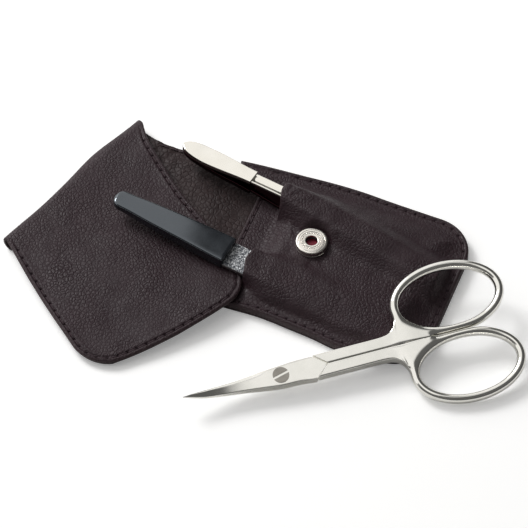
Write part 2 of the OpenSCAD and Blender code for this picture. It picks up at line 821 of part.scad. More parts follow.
// one shank, with the web that joins it to its ring
ring_y = ring_w / 2 - 0.55;
module shank_outline() {
  web = 3.6;
  web_x = ring_x - ring_len / 2;
  difference() {
    union() {
      polygon([[6, sc_blade_w / 2], [6, 0], [ring_x - 2, 0], [ring_x - 12, shank_w], [8.8, shank_w]]);
      difference() {
        translate([web_x - web, shank_w - film]) square([2 * web, web + film]);
        translate([web_x - web + 0.1, shank_w + web]) circle(web);
      }
      polygon([[web_x + 1, 0], [ring_x - 2, 0], [ring_x - 8, 4], [web_x + 2, 8], [web_x + 0.8, 6]]);
    }
    translate([ring_x + 0.2, ring_y]) oval(ring_len / 2 - ring_bar, ring_w / 2 - ring_bar);
    translate([-far / 2, film - far]) square([far, far]);
  }
}

// one ring, above the line where the two halves meet, pared all round by an amount
module ring_outline(pare) {
  difference() {
    translate([ring_x, ring_y]) oval(ring_len / 2 - pare, ring_w / 2 - pare);
    translate([ring_x, ring_y]) oval(ring_len / 2 - ring_bar + pare, ring_w / 2 - ring_bar + pare);
    translate([-far / 2, film - far]) square([far, far]);
  }
}

// one half: its blade on its own side of the middle surface, and its full-depth handle
module scissors_half(side) {
  intersection() {
    translate([0, 0, -20]) linear_extrude(40) blade_outline();
    blade_layer(side);
  }
  difference() {
    union() {
      translate([0, 0, -shank_t / 2]) linear_extrude(shank_t) mirror([0, side > 0 ? 0 : 1]) shank_outline();
      for (layer = [[0, ring_bar / 4], [ring_bar / 4, ring_bar / 2]])
        translate([0, 0, -layer[1]]) linear_extrude(2 * layer[1]) mirror([0, side > 0 ? 0 : 1])
          ring_outline(layer[0]);
    }
    if (side > 0)
      intersection() {
        translate([0, 0, -shank_t]) linear_extrude(2 * shank_t)
          for (gap = [0, 0.1]) translate([gap, 0]) blade_outline();
        below_sweep();
      }
    else
      translate([0, 0, film / 2]) linear_extrude(shank_t)
        for (gap = [0, 0.4]) translate([gap, 0]) blade_outline();
  }
}

head_h = 0.6;
module screw_hole(d, head_d) {
  translate([0, 0, -10]) cylinder(h = 20, d = d);
  translate([0, 0, shank_t / 2 - head_h]) cylinder(h = 2, d = head_d);
}

module scissors_upper_half() {
  color([0.88, 0.88, 0.85]) at_scissors() difference() {
    scissors_half(1);
    screw_hole(screw_d + 0.06, screw_head_d + 0.1);
  }
}

module scissors_lower_half() {
  color([0.88, 0.88, 0.85]) at_scissors() difference() {
    scissors_half(-1);
    screw_hole(screw_d, screw_d);
  }
}

module scissors_screw() {
  slot_w = 0.6;
  slot_depth = 0.3;
  color([0.66, 0.66, 0.64]) at_scissors() difference() {
    union() {
      translate([0, 0, -shank_t / 2]) cylinder(h = shank_t, d = screw_d);
      translate([0, 0, shank_t / 2 - head_h + film / 2]) cylinder(h = head_h + 0.1, d = screw_head_d);
    }
    rotate(14) translate([-screw_head_d, -slot_w / 2, shank_t / 2 + 0.1 - slot_depth])
      cube([2 * screw_head_d, slot_w, 1]);
  }
}

case_leather();
case_lining();
seam_back();
sleeve_lining();
front_panel();
seam_pocket();
seam_mouth();
clasp_cover();
clasp_magnet();
clasp_base();
clasp_washer();
seam_flap();
flap_end_leather();
flap_end_lining();
seam_flap_end();
stud_plate();
stud_washer();
tweezers_upper_half();
tweezers_lower_half();
file_handle();
file_blade();
file_grit_upper();
file_grit_lower();
scissors_upper_half();
scissors_lower_half();
scissors_screw();
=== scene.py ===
import math
import bpy
import numpy as np
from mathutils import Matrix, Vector, noise


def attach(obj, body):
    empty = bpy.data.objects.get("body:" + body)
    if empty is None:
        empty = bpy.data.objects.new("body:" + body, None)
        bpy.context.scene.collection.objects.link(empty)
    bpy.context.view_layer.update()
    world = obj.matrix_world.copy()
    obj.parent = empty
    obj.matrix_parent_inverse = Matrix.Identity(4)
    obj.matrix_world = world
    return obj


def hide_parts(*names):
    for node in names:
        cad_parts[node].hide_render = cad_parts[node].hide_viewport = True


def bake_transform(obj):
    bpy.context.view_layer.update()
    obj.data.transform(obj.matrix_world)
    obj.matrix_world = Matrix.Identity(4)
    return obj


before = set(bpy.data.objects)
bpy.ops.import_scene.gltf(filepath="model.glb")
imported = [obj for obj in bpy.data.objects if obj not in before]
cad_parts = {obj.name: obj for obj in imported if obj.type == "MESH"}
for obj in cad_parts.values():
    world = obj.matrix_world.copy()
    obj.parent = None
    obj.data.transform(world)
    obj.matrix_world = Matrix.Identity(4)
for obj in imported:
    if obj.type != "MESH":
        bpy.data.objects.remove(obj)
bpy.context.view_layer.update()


# ---- Outer leather ----
# One strip of pebbled dark leather makes the back, the fold and the flap. It is folded over askew, glued to
# its lining and stitched; the flap's free end sags over the pocket's edge towards the table.

class Shade:
    """A shader socket that adds and multiplies like a number."""

    def __init__(self, tree, socket=None):
        self.tree, self.socket = tree, socket

    def node(self, kind, settings=None, inputs=None, out=0):
        made = self.tree.nodes.new("ShaderNode" + kind)
        for key, value in (settings or {}).items():
            setattr(made, key, value)
        for key, value in (inputs or {}).items():
            if isinstance(value, Shade):
                self.tree.links.new(value.socket, made.inputs[key])
            else:
                made.inputs[key].default_value = value
        return Shade(self.tree, made.outputs[out])

    def sum(self, operation, first, second, **settings):
        return self.node("Math", {"operation": operation, **settings}, {0: first, 1: second})

    def __add__(self, other):
        return self.sum("ADD", self, other)

    def __radd__(self, other):
        return self.sum("ADD", other, self)

    def __sub__(self, other):
        return self.sum("SUBTRACT", self, other)

    def __rsub__(self, other):
        return self.sum("SUBTRACT", other, self)

    def __mul__(self, other):
        return self.sum("MULTIPLY", self, other)

    def __rmul__(self, other):
        return self.sum("MULTIPLY", other, self)

    def __pow__(self, other):
        return self.sum("POWER", self, other)

    def clamp(self):
        return self.sum("ADD", self, 0, use_clamp=True)

    def blend(self, first, second):
        """the first colour where this mask is 0, the second where it is 1"""
        return self.node("Mix", {"data_type": "RGBA"}, {0: self, 6: first, 7: second}, out=2)


def dye(*seen):
    """a colour as red, green and blue look on a screen, from 0 to 255, in the renderer's linear numbers"""
    return (*[c / 255 / 12.92 if c <= 10 else ((c / 255 + 0.055) / 1.055) ** 2.4 for c in seen], 1)


def new_finish(name):
    """a material, the start of its shader maths, and what feeds its shader"""
    material = bpy.data.materials.new(name)
    material.use_nodes = True
    start = Shade(material.node_tree)
    shader = material.node_tree.nodes["Principled BSDF"]

    def feed(**inputs):
        for key, value in inputs.items():
            socket = shader.inputs[key.replace("_", " ")]
            if isinstance(value, Shade):
                material.node_tree.links.new(value.socket, socket)
            else:
                socket.default_value = value

    return material, start, feed


def in_mm(start):
    """the place on the piece, in millimetres"""
    place = start.node("TexCoord", out="Object")
    return start.node("VectorMath", {"operation": "SCALE"}, {0: place, "Scale": 1000.0})


def cloudy(where, size, detail=2.0, out="Fac"):
    """soft noise with patches of about this many millimetres"""
    return where.node("TexNoise", inputs={"Vector": where, "Scale": 1 / size, "Detail": detail}, out=out)


def hide(name, top, valley, cell, depth, rough):
    """leather with a pebbled grain: cell is the size of a pebble and depth that of the valleys, in mm"""
    material, start, feed = new_finish(name)
    mm = in_mm(start)
    pull = cloudy(mm, 2.0, out="Color")
    pull = start.node("VectorMath", {"operation": "MULTIPLY_ADD"}, {0: pull, 1: (0.5 * cell,) * 3, 2: mm})
    cells = {"Vector": pull, "Scale": 1 / cell}
    edge = start.node("TexVoronoi", {"feature": "DISTANCE_TO_EDGE"}, cells, out="Distance")
    tint = start.node("TexVoronoi", inputs=cells, out="Color")
    pebble = 1 - (1 - (edge * 3.4).clamp()) ** 2.0
    fine = cloudy(mm, 0.22, 3.0)
    patch = cloudy(mm, 7.0)
    stretch = ((cloudy(mm, 11.0) - 0.35) * 2.6).clamp()
    height = pebble * (0.35 + 0.65 * stretch) * 0.8 + fine * 0.3
    cell_tone = start.node("SeparateColor", inputs={0: tint}, out=0)
    tone = 0.5 + 0.22 * (pebble - 0.5) + 0.16 * (cell_tone - 0.5) + 0.7 * (patch - 0.5) + 0.2 * (fine - 0.5)
    colour = tone.clamp().blend(valley, top)
    # needle holes are painted near-black and made rougher: painted shade in the holes
    hole = start.node("Attribute", {"attribute_name": "hole"}, out="Fac")
    colour = hole.blend(colour, dye(18, 4, 10))
    worn = start.node("Attribute", {"attribute_name": "worn"}, out="Fac")
    colour = (worn * (0.4 + 0.5 * fine)).clamp().blend(colour, dye(92, 76, 76))
    roughness = rough + 0.16 * (1 - pebble) + 0.25 * (patch - 0.5) + 0.5 * hole
    bump = start.node("Bump", inputs={"Height": height, "Strength": 0.85, "Distance": depth * 0.001})
    feed(Base_Color=colour, Roughness=roughness.clamp(), Normal=bump, Specular_IOR_Level=0.34)
    return material


leather = hide("pebbled_leather", dye(50, 33, 39), dye(31, 14, 21), 0.95, 0.2, 0.46)


def piece(name, points, faces, material, sharp=35):
    """a mesh from points in millimetres; edges that turn more than sharp degrees stay crisp"""
    mesh = bpy.data.meshes.new(name)
    places = [(float(x) / 1000, float(y) / 1000, float(z) / 1000) for x, y, z in points]
    mesh.from_pydata(places, [], [tuple(int(i) for i in face) for face in faces])
    mesh.materials.append(material)
    mesh.shade_smooth()
    mesh.set_sharp_from_angle(angle=math.radians(sharp))
    made = bpy.data.objects.new(name, mesh)
    bpy.context.scene.collection.objects.link(made)
    return made


def ease(u):
    """a smooth step from 0 at 0 to 1 at 1, level beyond them"""
    u = np.clip(u, 0.0, 1.0)
    return u * u * (3 - 2 * u)


def swell(at, centre, width):
    """a soft rise, 1 at its centre and fading over this width to both sides"""
    return np.exp(-(((at - centre) / width) ** 2))


def through(at, knots):
    """a smooth curve through a few (place, value) pairs, level beyond them"""
    places, values = np.array(knots, float).T
    slopes = np.gradient(values, places)
    slopes[0] = slopes[-1] = 0
    at = np.clip(at, places[0], places[-1])
    k = np.clip(np.searchsorted(places, at) - 1, 0, len(places) - 2)
    step = places[k + 1] - places[k]
    t = (at - places[k]) / step
    return ((2 * t**3 - 3 * t**2 + 1) * values[k] + (t**3 - 2 * t**2 + t) * step * slopes[k]
            + (3 * t**2 - 2 * t**3) * values[k + 1] + (t**3 - t**2) * step * slopes[k + 1])


def ripple(x, y, size, seed):
    """soft unevenness between about -1 and 1, in swells of this size"""
    x, y = np.broadcast_arrays(x, y)
    flat = [noise.noise(Vector((a / size, b / size, seed))) for a, b in zip(x.ravel(), y.ravel())]
    return 1.6 * np.array(flat).reshape(x.shape)


half_w, corner_r, rim_r = 23.75, 10.6, 0.4
end_x, mouth_x = 29.3, -29.3
fold_x, fold_y = mouth_x - 46.7, -1.6
skew = math.radians(20)
leather_t, lining_t = 0.9, 0.4
flap_len, flap_top, flap_rim_r = 55.4, 4.7, 0.42
fold_r = flap_top / 2
roll_len = math.pi * (fold_r - leather_t / 2)
above_table = 0.4
fold_line = np.array([math.sin(skew), math.cos(skew)])
outward = np.array([-math.cos(skew), math.sin(skew)])
flap_ahead = np.array([math.cos(2 * skew), -math.sin(2 * skew)])
flap_aside = np.array([math.sin(2 * skew), math.cos(2 * skew)])
bend_at = np.array([fold_x - math.tan(skew) * half_w, fold_y - half_w])
bend_turn = math.radians(1.5)
bend_out = np.array([math.sin(bend_turn), -math.cos(bend_turn)])
flap_corner = np.array([fold_x, fold_y]) + flap_len * flap_ahead - half_w * flap_aside
droop = math.asin((flap_top - leather_t - lining_t - above_table) / ((flap_corner - bend_at) @ bend_out))


def toward_edge(v, start):
    """0 as far as start from the middle, then rising to 1 at the case's long edge"""
    return ease((v - start) / (half_w - start))


def drawn_out(v, away):
    """the fold's far corner is pulled out to a point"""
    return 2.4 * toward_edge(v, 9) * swell(away, 0, 5.5)


def pulled(x, y):
    """where the case's long edges really lie: soft leather doesn't keep a straight edge"""
    far_edge = through(x, [(-72, -0.2), (-57, -1.7), (-38, -1.4), (-31, -1.2), (-23, 0), (-14, 0.75),
                           (-4, 0.95), (4, 0.55), (14, 0.2), (24, 0)])
    near_edge = through(x, [(-76, 0), (-40, 0.9), (-24, 1.6), (-16, 1.9), (-6, 1.1), (0, 0.5), (6, -0.45),
                            (13, -0.3), (22, 0.25)])
    return y + far_edge * toward_edge(y, 7) + near_edge * toward_edge(-y, 9)


def on_back(x, y, level):
    """a point of the back, x and y as cut, at a height above its outer face"""
    drift = fold_y * np.clip((mouth_x - x) / (mouth_x - fold_x), 0, 1)
    free = ease((mouth_x - x) / 8) * ease((x - fold_x - 5) / 9)
    lift = free * (0.35 + 0.3 * ripple(x, y, 13, 3.1) + 0.7 * ease((y - 12) / 11))
    away = 3 + np.maximum(0, (fold_x - x) * outward[0] - y * outward[1])
    out = drawn_out(y, away)
    return np.stack([x + out * fold_line[0], pulled(x, y) + drift + out * fold_line[1], level + lift], -1)


def on_roll(v, turn, level):
    """a point of the fold, turn from 0 at the back to 1 at the flap"""
    angle = math.pi * turn
    t = v / math.cos(skew) + drawn_out(v, (turn - 0.5) * roll_len)
    bow = 1.25 * swell(t, 11, 10) - 0.25 * swell(t, -12, 7)
    out = (fold_r - level + bow) * np.sin(angle)
    x = fold_x + t * fold_line[0] + out * outward[0]
    y = fold_y + t * fold_line[1] + out * outward[1]
    return np.stack([x, y, fold_r - (fold_r - level) * np.cos(angle) + 0 * x], -1)


def sagging(x, y, z):
    """the flap's free end bends down over the edge of the case"""
    beyond = (x - bend_at[0]) * bend_out[0] + (y - bend_at[1]) * bend_out[1]
    half_bend = 3
    curved = (beyond + half_bend) ** 2 / (4 * half_bend)
    ramp = np.where(beyond < -half_bend, 0, np.where(beyond < half_bend, curved, beyond))
    return z - ramp * math.tan(droop)


def on_flap(a, v, level):
    """a point of the flap, a from the fold and v across, at a depth below its outer face"""
    away = 3 + np.maximum(0, a + v * math.tan(skew)) * math.cos(skew)
    out = drawn_out(v, away)
    ahead = a - 0.0042 * (v + 3) ** 2 * ease((a - 22) / 33) + 0.3 * ease((a - 40) / 15)
    aside = v + 1.1 * ease(v / 23) * ease((a - 8) / 30)
    aside = aside - 0.7 * ease(-v / 23) * np.sin(np.pi * np.clip(a / 46, 0, 1))
    aside = aside - 0.5 * swell(a, 16, 9) * ease((v - 8) / 15)
    x = fold_x + ahead * flap_ahead[0] + aside * flap_aside[0] + out * fold_line[0]
    y = fold_y + ahead * flap_ahead[1] + aside * flap_aside[1] + out * fold_line[1]
    wave = (0.22 * ripple(x, y, 15, 7.7) + 0.1 * ripple(x, y, 6, 1.2)) * ease((a + v * math.tan(skew)) / 10)
    return np.stack([x, y, sagging(x, y, flap_top - level + np.maximum(wave, -0.3))], -1)


def edge_steps(length, step=0.45):
    """places across a strip, close together at both rims"""
    near = [0, 0.06, 0.16, 0.3, 0.45, 0.65, 0.85, 1.05, 1.2, 1.35, 1.5, 1.7, 2.0]
    count = int(round((length - 4.4) / step))
    return np.array(near + list(np.linspace(2.2, length - 2.2, count)) + [length - n for n in reversed(near)])


def rim_drop(d, r):
    """how far a rounded rim of radius r falls away, at distance d from the edge"""
    d = np.clip(d, 0, r)
    return r - np.sqrt(np.maximum(0, r * r - (r - d) ** 2))


def corner_half(from_end, r):
    """half the strip's width this far from its end, which has round corners"""
    u = np.clip(r - from_end, 0, r)
    return half_w - r + np.sqrt(np.maximum(0, r * r - u * u))


def edge_distance(from_end, y, r):
    """distance in from the outline of the strip's end"""
    u, w = r - from_end, np.abs(y) - (half_w - r)
    return np.where((u > 0) & (w > 0), r - np.hypot(u, w), np.minimum(from_end, half_w - np.abs(y)))


def closed_sheet(top, bottom):
    """one closed skin from the two faces of a sheet, given as grids of points"""
    rows, columns = top.shape[:2]
    below = rows * columns
    index = np.arange(below).reshape(rows, columns)
    a, b, c, d = (cut.ravel() for cut in (index[:-1, :-1], index[1:, :-1], index[1:, 1:], index[:-1, 1:]))
    faces = [*np.stack([a, b, c, d], 1), *(np.stack([d, c, b, a], 1) + below)]
    rim = np.concatenate([index[0, :-1], index[:-1, -1], index[-1, :0:-1], index[:0:-1, 0]])
    after = np.roll(rim, -1)
    faces += [(p, q, q + below, p + below) for p, q in zip(rim, after)]
    return np.concatenate([top.reshape(-1, 3), bottom.reshape(-1, 3)]), faces


def set_mark(made, name, values):
    """a number for each point of a piece, which its finish can read"""
    mark = made.data.attributes.new(name, "FLOAT", "POINT")
    mark.data.foreach_set("value", np.asarray(values, np.float32))


stitch_in, stitch_pitch = 1.3, 2.7
flap_r_far, flap_r_near, flap_seam_r = 7.2, 9.2, 8.5


def flap_radius(v):
    """the radius of the flap's free corner on this side"""
    return np.where(v > 0, flap_r_far, flap_r_near)


def flap_edge(a, v):
    """distance in from the flap's stitched outline"""
    return edge_distance(flap_len - a, v, flap_radius(v))


def seam_walk(run, r, middle):
    """places every half pitch along a U of two straight runs joined round two corners, with their headings"""
    quarter = r * math.pi / 2
    total = 2 * run + 2 * quarter + middle
    for k in range(int(total / stitch_pitch * 2)):
        d = k * stitch_pitch / 2
        if d < run:
            yield k, d, 0.0, 0.0
        elif d < run + quarter:
            t = (d - run) / r
            yield k, run + r * math.sin(t), r * math.cos(t) - r, -t
        elif d < run + quarter + middle:
            yield k, run + r, run + quarter - r - d, -math.pi / 2
        elif d < run + 2 * quarter + middle:
            t = (d - run - quarter - middle) / r
            yield k, run + r * math.cos(t), -r - middle - r * math.sin(t), -math.pi / 2 - t
        else:
            yield k, 2 * run + 2 * quarter + middle - d, -2 * r - middle, math.pi


fold_reach = math.tan(skew) * half_w
seam_start = 3 * stitch_in - fold_reach
seam_turns = flap_seam_r - stitch_in, 2 * (half_w - flap_seam_r)
flap_seam = [(k, seam_start + x, half_w - stitch_in + y, turn) for k, x, y, turn
             in seam_walk(flap_len - flap_seam_r - seam_start, *seam_turns)
             if not (turn > 3 and seam_start + x < fold_reach + 2 * stitch_in)]
flap_holes = np.array([(a, v) for k, a, v, turn in flap_seam if k % 2])


def hole_marks(a, v, holes, size=0.33):
    """1 in a stitch hole, which is sunk and painted dark as painted shade, 0 on plain leather"""
    mark = np.zeros(a.shape)
    for p, q in holes:
        mark = np.maximum(mark, np.exp(-((((a - p) ** 2 + (v - q) ** 2) / size**2) ** 1.5)))
    return mark


rows = (edge_steps(2 * half_w) - half_w)[:, None]
back_share = np.concatenate([edge_steps(30, 1.0)[:26] / 105.0, np.linspace(0.14, 1, 96)[1:]])[None, :]
roll_turn = np.linspace(0, 1, 18)[None, 1:-1]
flap_places = np.concatenate([np.linspace(0, 1, 130)[:-1] * (flap_len - 2.2),
                              flap_len - edge_steps(20)[12::-1]])
flap_share = flap_places[None, :] / flap_len


def strip_face(level, thick, holed):
    """one face of the strip, from the closed end over the fold to the free end, and its marks"""
    fold_at = fold_x + rows * math.tan(skew)
    x = end_x - back_share * (end_x - fold_at)
    from_end = end_x - x
    y = rows * corner_half(from_end, corner_r) / half_w
    d = edge_distance(from_end, y, corner_r)
    side = 1 if level < thick / 2 else -1
    back = on_back(x, y, level + 0 * x)
    back[..., 2] += side * rim_drop(d, rim_r)
    turn = roll_turn + 0 * rows
    d_roll = half_w - np.abs(rows) + 0 * turn
    roll = on_roll(rows, turn, level + side * rim_drop(d_roll, rim_r))
    start = -rows * math.tan(skew)
    a = start + (flap_len - start) * flap_share
    v = rows * corner_half(flap_len - a, flap_radius(rows)) / half_w
    d_flap = flap_edge(a, v)
    depth = level + side * rim_drop(d_flap, flap_rim_r)
    hole = 0 * a
    if holed:
        hole = hole_marks(a, v, flap_holes)
        swells = 0.16 * swell(d_flap, 0.72, 0.38) + 0.1 * swell(d_flap, 2.1, 0.5)
        depth = depth + ease((a - start) / 4) * (0.2 * swell(d_flap, stitch_in, 0.3) - swells) + 0.35 * hole
    flap = on_flap(a, v, depth)
    worn = np.concatenate([0 * x, 0.25 * swell(turn, 0.5, 0.2), 0.5 * np.exp(-d_flap / 0.25)], 1)
    return np.concatenate([back, roll, flap], 1), np.concatenate([0 * x, 0 * turn, hole], 1), worn


outer, outer_holes, outer_worn = strip_face(0.0, leather_t, True)
inner, _, inner_worn = strip_face(leather_t, leather_t, False)
skin, skin_faces = closed_sheet(outer, inner)
case_strip = piece("case_outer_leather", skin, skin_faces, leather)
# the hole mark sinks the needle holes and paints shade into them
set_mark(case_strip, "hole", np.concatenate([outer_holes.ravel(), 0 * outer_holes.ravel()]))
set_mark(case_strip, "worn", np.concatenate([outer_worn.ravel(), inner_worn.ravel()]))
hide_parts("case_leather", "flap_end_leather")
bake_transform(case_strip)


# ---- Lining ----
# A thinner, softer hide glued inside the strip, grain outwards. It shows on the open back between the
# pocket's mouth and the fold, where it is creased from years of folding.

lining = hide("lining_hide", dye(53, 36, 36), dye(21, 10, 12), 1.3, 0.24, 0.55)
set_back, glue = 0.35, 0.02


def lining_face(level, upper):
    """one face of the lining, a little inside the leather's outline"""
    fold_at = fold_x + rows * math.tan(skew)
    narrow = rows * (half_w - set_back) / half_w
    x = end_x - set_back - back_share * (end_x - set_back - fold_at)
    y = narrow * corner_half(end_x - x, corner_r) / half_w
    back = on_back(x, y, level + 0 * x)
    if upper:
        bare = ease((mouth_x - x) / 3)
        slope = ease((x - fold_x) / 10)
        crease = 0.16 * np.sin(1.5 * (x - 0.35 * y) + 2.2 * ripple(x, y, 9, 5.0)) * swell(x, -60, 9)
        back[..., 2] += bare * slope * (np.maximum(crease, -0.2) + 0.12 * ripple(x, y, 3.2, 8.4))
        d = half_w - set_back - np.abs(y)
        back[..., 2] -= bare * 0.12 * swell(d, 1, 0.3) + rim_drop(d, 0.2)
    roll = on_roll(narrow, roll_turn + 0 * rows, level)
    start = -narrow * math.tan(skew)
    a = start + (flap_len - set_back - start) * flap_share
    v = narrow * corner_half(flap_len - a, flap_radius(rows)) / half_w
    return np.concatenate([back, roll, on_flap(a, v, level + 0 * a)], 1)


lining_skin, lining_faces = closed_sheet(lining_face(leather_t + glue, False),
                                         lining_face(leather_t + lining_t, True))
case_lining = piece("case_lining_hide", lining_skin, lining_faces, lining)
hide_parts("case_lining", "flap_end_lining")
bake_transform(case_lining)


# ---- Divider ----
# A sheet of the same lining between the main pocket and the tools' sleeves, glued round three sides. Only
# its edge shows, in the pocket's mouth and along the seam.

divider_in, divider_top = 0.4, 2.03


def divider_face(level):
    """one face of the divider, its edges a little inside the pocket's"""
    narrow = 0.992 * rows * (half_w - set_back) / half_w
    x = np.linspace(mouth_x + divider_in, end_x - divider_in, 70)[None, :] + 0 * rows
    return on_back(x, narrow * corner_half(end_x - x, corner_r) / half_w, level + 0 * x)


divider_skin, divider_faces = closed_sheet(divider_face(divider_top - lining_t), divider_face(divider_top))
divider = piece("sleeve_divider", divider_skin, divider_faces, lining)
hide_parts("sleeve_lining")
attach(divider, "case")


# ---- Front leather ----
# The pocket's front is a second piece of the strip's leather. It has taken the shape of the tools in their
# sleeves, is cut with two slits for them, and puckers where the clasp is riveted through it.

panel_low, tool_room = 2.95, 0.3
tweezers_at, tweezers_turn = np.array([mouth_x + 7, 12.4]), math.radians(-10.5)
tweezers_fall, tweezers_out, tweezers_len = math.radians(3), 30.9, 78.0
arm_gap, tip_gap, weld_gap, arm_t = 4.5, 1.8, 0.05, 0.9
tweezers_z = panel_low + tool_room + arm_gap / 2 + arm_t
file_at, file_turn, file_fall = np.array([mouth_x + 0.7, -9.8]), math.radians(-7.1), math.radians(4.3)
blade_z, blade_len, blade_w, blade_tip_w, blade_half_t = 6.25, 44.5, 7.8, 3.2, 0.55
clasp_at, clasp_seat_r = np.array([mouth_x + 19.7, 1.2]), 4.3
slits = ((tweezers_at[1], 4.4, 0.0), (file_at[1], 5.2, -0.6))


def mouth_pull(x, y):
    """the mouth's far corner is drawn towards the fold by its stitches"""
    return x - 8.6 * toward_edge(y, 13.5) ** 1.3 * (1 - ease((x - mouth_x) / 11))


def by_tool(x, y, at, turn):
    """how far a point lies along a tool's line and how far beside it"""
    along = (x - at[0]) * math.cos(turn) + (y - at[1]) * math.sin(turn)
    return along, np.abs((y - at[1]) * math.cos(turn) - (x - at[0]) * math.sin(turn))


def half_gap(s):
    """half of the opening between the tweezers' arms, s from the head's end"""
    s, weld_end = np.asarray(s, float), 7
    opening = np.maximum(0, s - weld_end) / (tweezers_out - weld_end)
    closing = np.cos(np.pi / 2 * np.clip((s - tweezers_out) / (tweezers_len - tweezers_out), 0, 1))
    return np.where(s < tweezers_out, weld_gap + (arm_gap - weld_gap) * opening,
                    tip_gap + (arm_gap - tip_gap) * closing) / 2


def half_blade(s):
    """half of the file blade's width, s from the slit"""
    return (blade_w + (blade_tip_w - blade_w) * np.clip(s / blade_len, 0, 1) ** 1.6) / 2


def slit_x(y):
    """where the slits' line crosses the front: it bows towards the mouth over each tool"""
    near, far = file_at[0] + 5.8, tweezers_at[0] + 1
    line = near + (far - near) * ease(y / half_w + 0.5)
    for centre, reach, _ in slits:
        line = line - (1 - ease(np.abs(y - centre) / reach))
    return line


def slit_open(y):
    """1 inside a slit, 0 where the leather is whole"""
    return np.maximum.reduce([1.0 * (np.abs(y - centre - shift) < reach) for centre, reach, shift in slits])


def tool_ridge(s, q, top, full, flank, until, fade):
    """the leather's rise over a tool: as high as its top, full height this far beside it, then a flank"""
    rise = top + tool_room + leather_t - panel_low
    return rise * (1 - ease((q - full) / flank)) * (1 - ease((s - until) / fade))


def around_point(x, y, at_x, at_y):
    """distance from a point of the front and the direction there"""
    return np.hypot(x - at_x, y - at_y), np.arctan2(y - at_y, x - at_x)


def panel_height(x, y, lipped):
    """how far the front's face stands above its edge"""
    from_end = end_x - x
    d = np.minimum(corner_half(from_end, corner_r) - np.abs(y), from_end)
    s, q = by_tool(x, y, tweezers_at, tweezers_turn)
    top = tweezers_z - s * math.tan(tweezers_fall) + half_gap(tweezers_out + np.maximum(0, s)) + arm_t
    tweezers_ridge = tool_ridge(s, q, top, 1.9, 4.6 + 3.6 * ease(s / 12), 47.5, 6)
    s, q = by_tool(x, y, file_at, file_turn)
    top = blade_z - s * math.tan(file_fall) + blade_half_t
    file_ridge = tool_ridge(s, q, top, half_blade(s) + 0.4, 1.6 + 6.0 * ease((s - 4.8) / 12), blade_len, 7)
    dome = 3.1 * ease((x - mouth_x - 6) / 7) * ease((d - 2.4) / 7.6)
    dome = dome * (1 - 0.4 * ease((x - mouth_x - 27) / 24))
    tools = (tweezers_ridge**4 + file_ridge**4) ** 0.25 * ease((d - 2.2) / 2.6) * lipped
    height = (dome**3.5 + tools**3.5) ** (1 / 3.5)
    r, angle = around_point(x, y, *clasp_at)
    under = 1 - ease((r - clasp_seat_r) / 1.3)
    height = height * (1 - under) + np.minimum(height, 3.08) * under
    pucker = np.sin(11 * angle + 2 * ripple(x, y, 7, 2.0)) * swell(r, 6.3, 1.9)
    slack = ripple(x, y, 11, 4.4) * 0.28 + ripple(x, y, 4.5, 9.1) * 0.1
    fan_r, fan = around_point(x, y, -21.2, 8)
    folds = np.sin(13 * fan + 3 * ripple(x, y, 6, 6.6)) * swell(fan_r, 6, 3.4) * ease((x + 22) / 2)
    loose = ease((d - 2.6) / 3) * ease((r - clasp_seat_r - 0.1) / 1.5) * ease((x - slit_x(y)) / 1.5)
    return height + loose * (0.07 * pucker + 0.85 * slack + 0.1 * folds)


panel_v = (edge_steps(2 * half_w, 0.42) - half_w)[:, None]
strip_share = np.array([0, 0.01, 0.025, 0.05, 0.08, 0.12, 0.18, 0.26, 0.36, 0.48, 0.6, 0.72, 0.82, 0.9, 0.95,
                        0.975, 0.99, 1])
body_share = np.concatenate([[0, 0.0012, 0.003, 0.006, 0.010], np.linspace(0.016, 1, 112)[:-1] * 0.955,
                             1 - edge_steps(30)[12::-1] / 49.0])
body_share = np.unique(np.round(body_share, 6))
seam_from = mouth_x + 1.9
panel_seam = [(k, seam_from + x, half_w - stitch_in + y, turn) for k, x, y, turn
              in seam_walk(end_x - corner_r - seam_from, corner_r - stitch_in, 2 * (half_w - corner_r))]
mouth_seam = [(k, mouth_x + stitch_in, -8 + k * stitch_pitch / 2, math.pi / 2) for k in range(21)]
panel_holes = [(x, y) for k, x, y, turn in panel_seam + mouth_seam if k % 2]


def panel_face(share, lipped, drop):
    """one face of the strip before the slits, or of the lipped part behind them, and its marks"""
    slit, half_cut = slit_x(panel_v), 0.04
    whole = 1 - slit_open(panel_v)
    share = share[None, :]
    if lipped:
        x = slit + half_cut + (end_x - slit - half_cut) * share - half_cut * whole * (share == 0)
    else:
        x = mouth_x + (slit - mouth_x - half_cut) * share + half_cut * whole * (share == 1)
    y = panel_v * corner_half(end_x - x, corner_r) / half_w
    side_d = edge_distance(end_x - x, y, corner_r)
    d = np.minimum(side_d, x - mouth_x)
    lip = np.abs(x - slit) + 5 * whole
    z = panel_low + panel_height(x, y, 1.0 if lipped else 0.0)
    hole = 0 * x
    if drop == 0:
        hole = hole_marks(x, y, panel_holes)
        groove = 0.16 * swell(d, stitch_in, 0.3) - 0.1 * swell(d, 0.7, 0.35)
        fall = np.maximum(rim_drop(d, 0.45), rim_drop(lip, 0.3))
        z = z - fall - groove * ease((x - mouth_x) / 0.2) - 0.3 * hole
    else:
        z = z - drop + 0.7 * rim_drop(lip, 0.3) - 1.05 * (1 - ease((side_d - 0.1) / 0.9))
    cut = 0.6 * np.exp(-lip / 0.16) + 0.3 * np.exp(-d / 0.25)
    return np.stack([mouth_pull(x, y), pulled(x, y), z], -1), hole, cut


def wall(upper, lower):
    """faces between two rows of points"""
    return [(upper[k], upper[k + 1], lower[k + 1], lower[k]) for k in range(len(upper) - 1)]


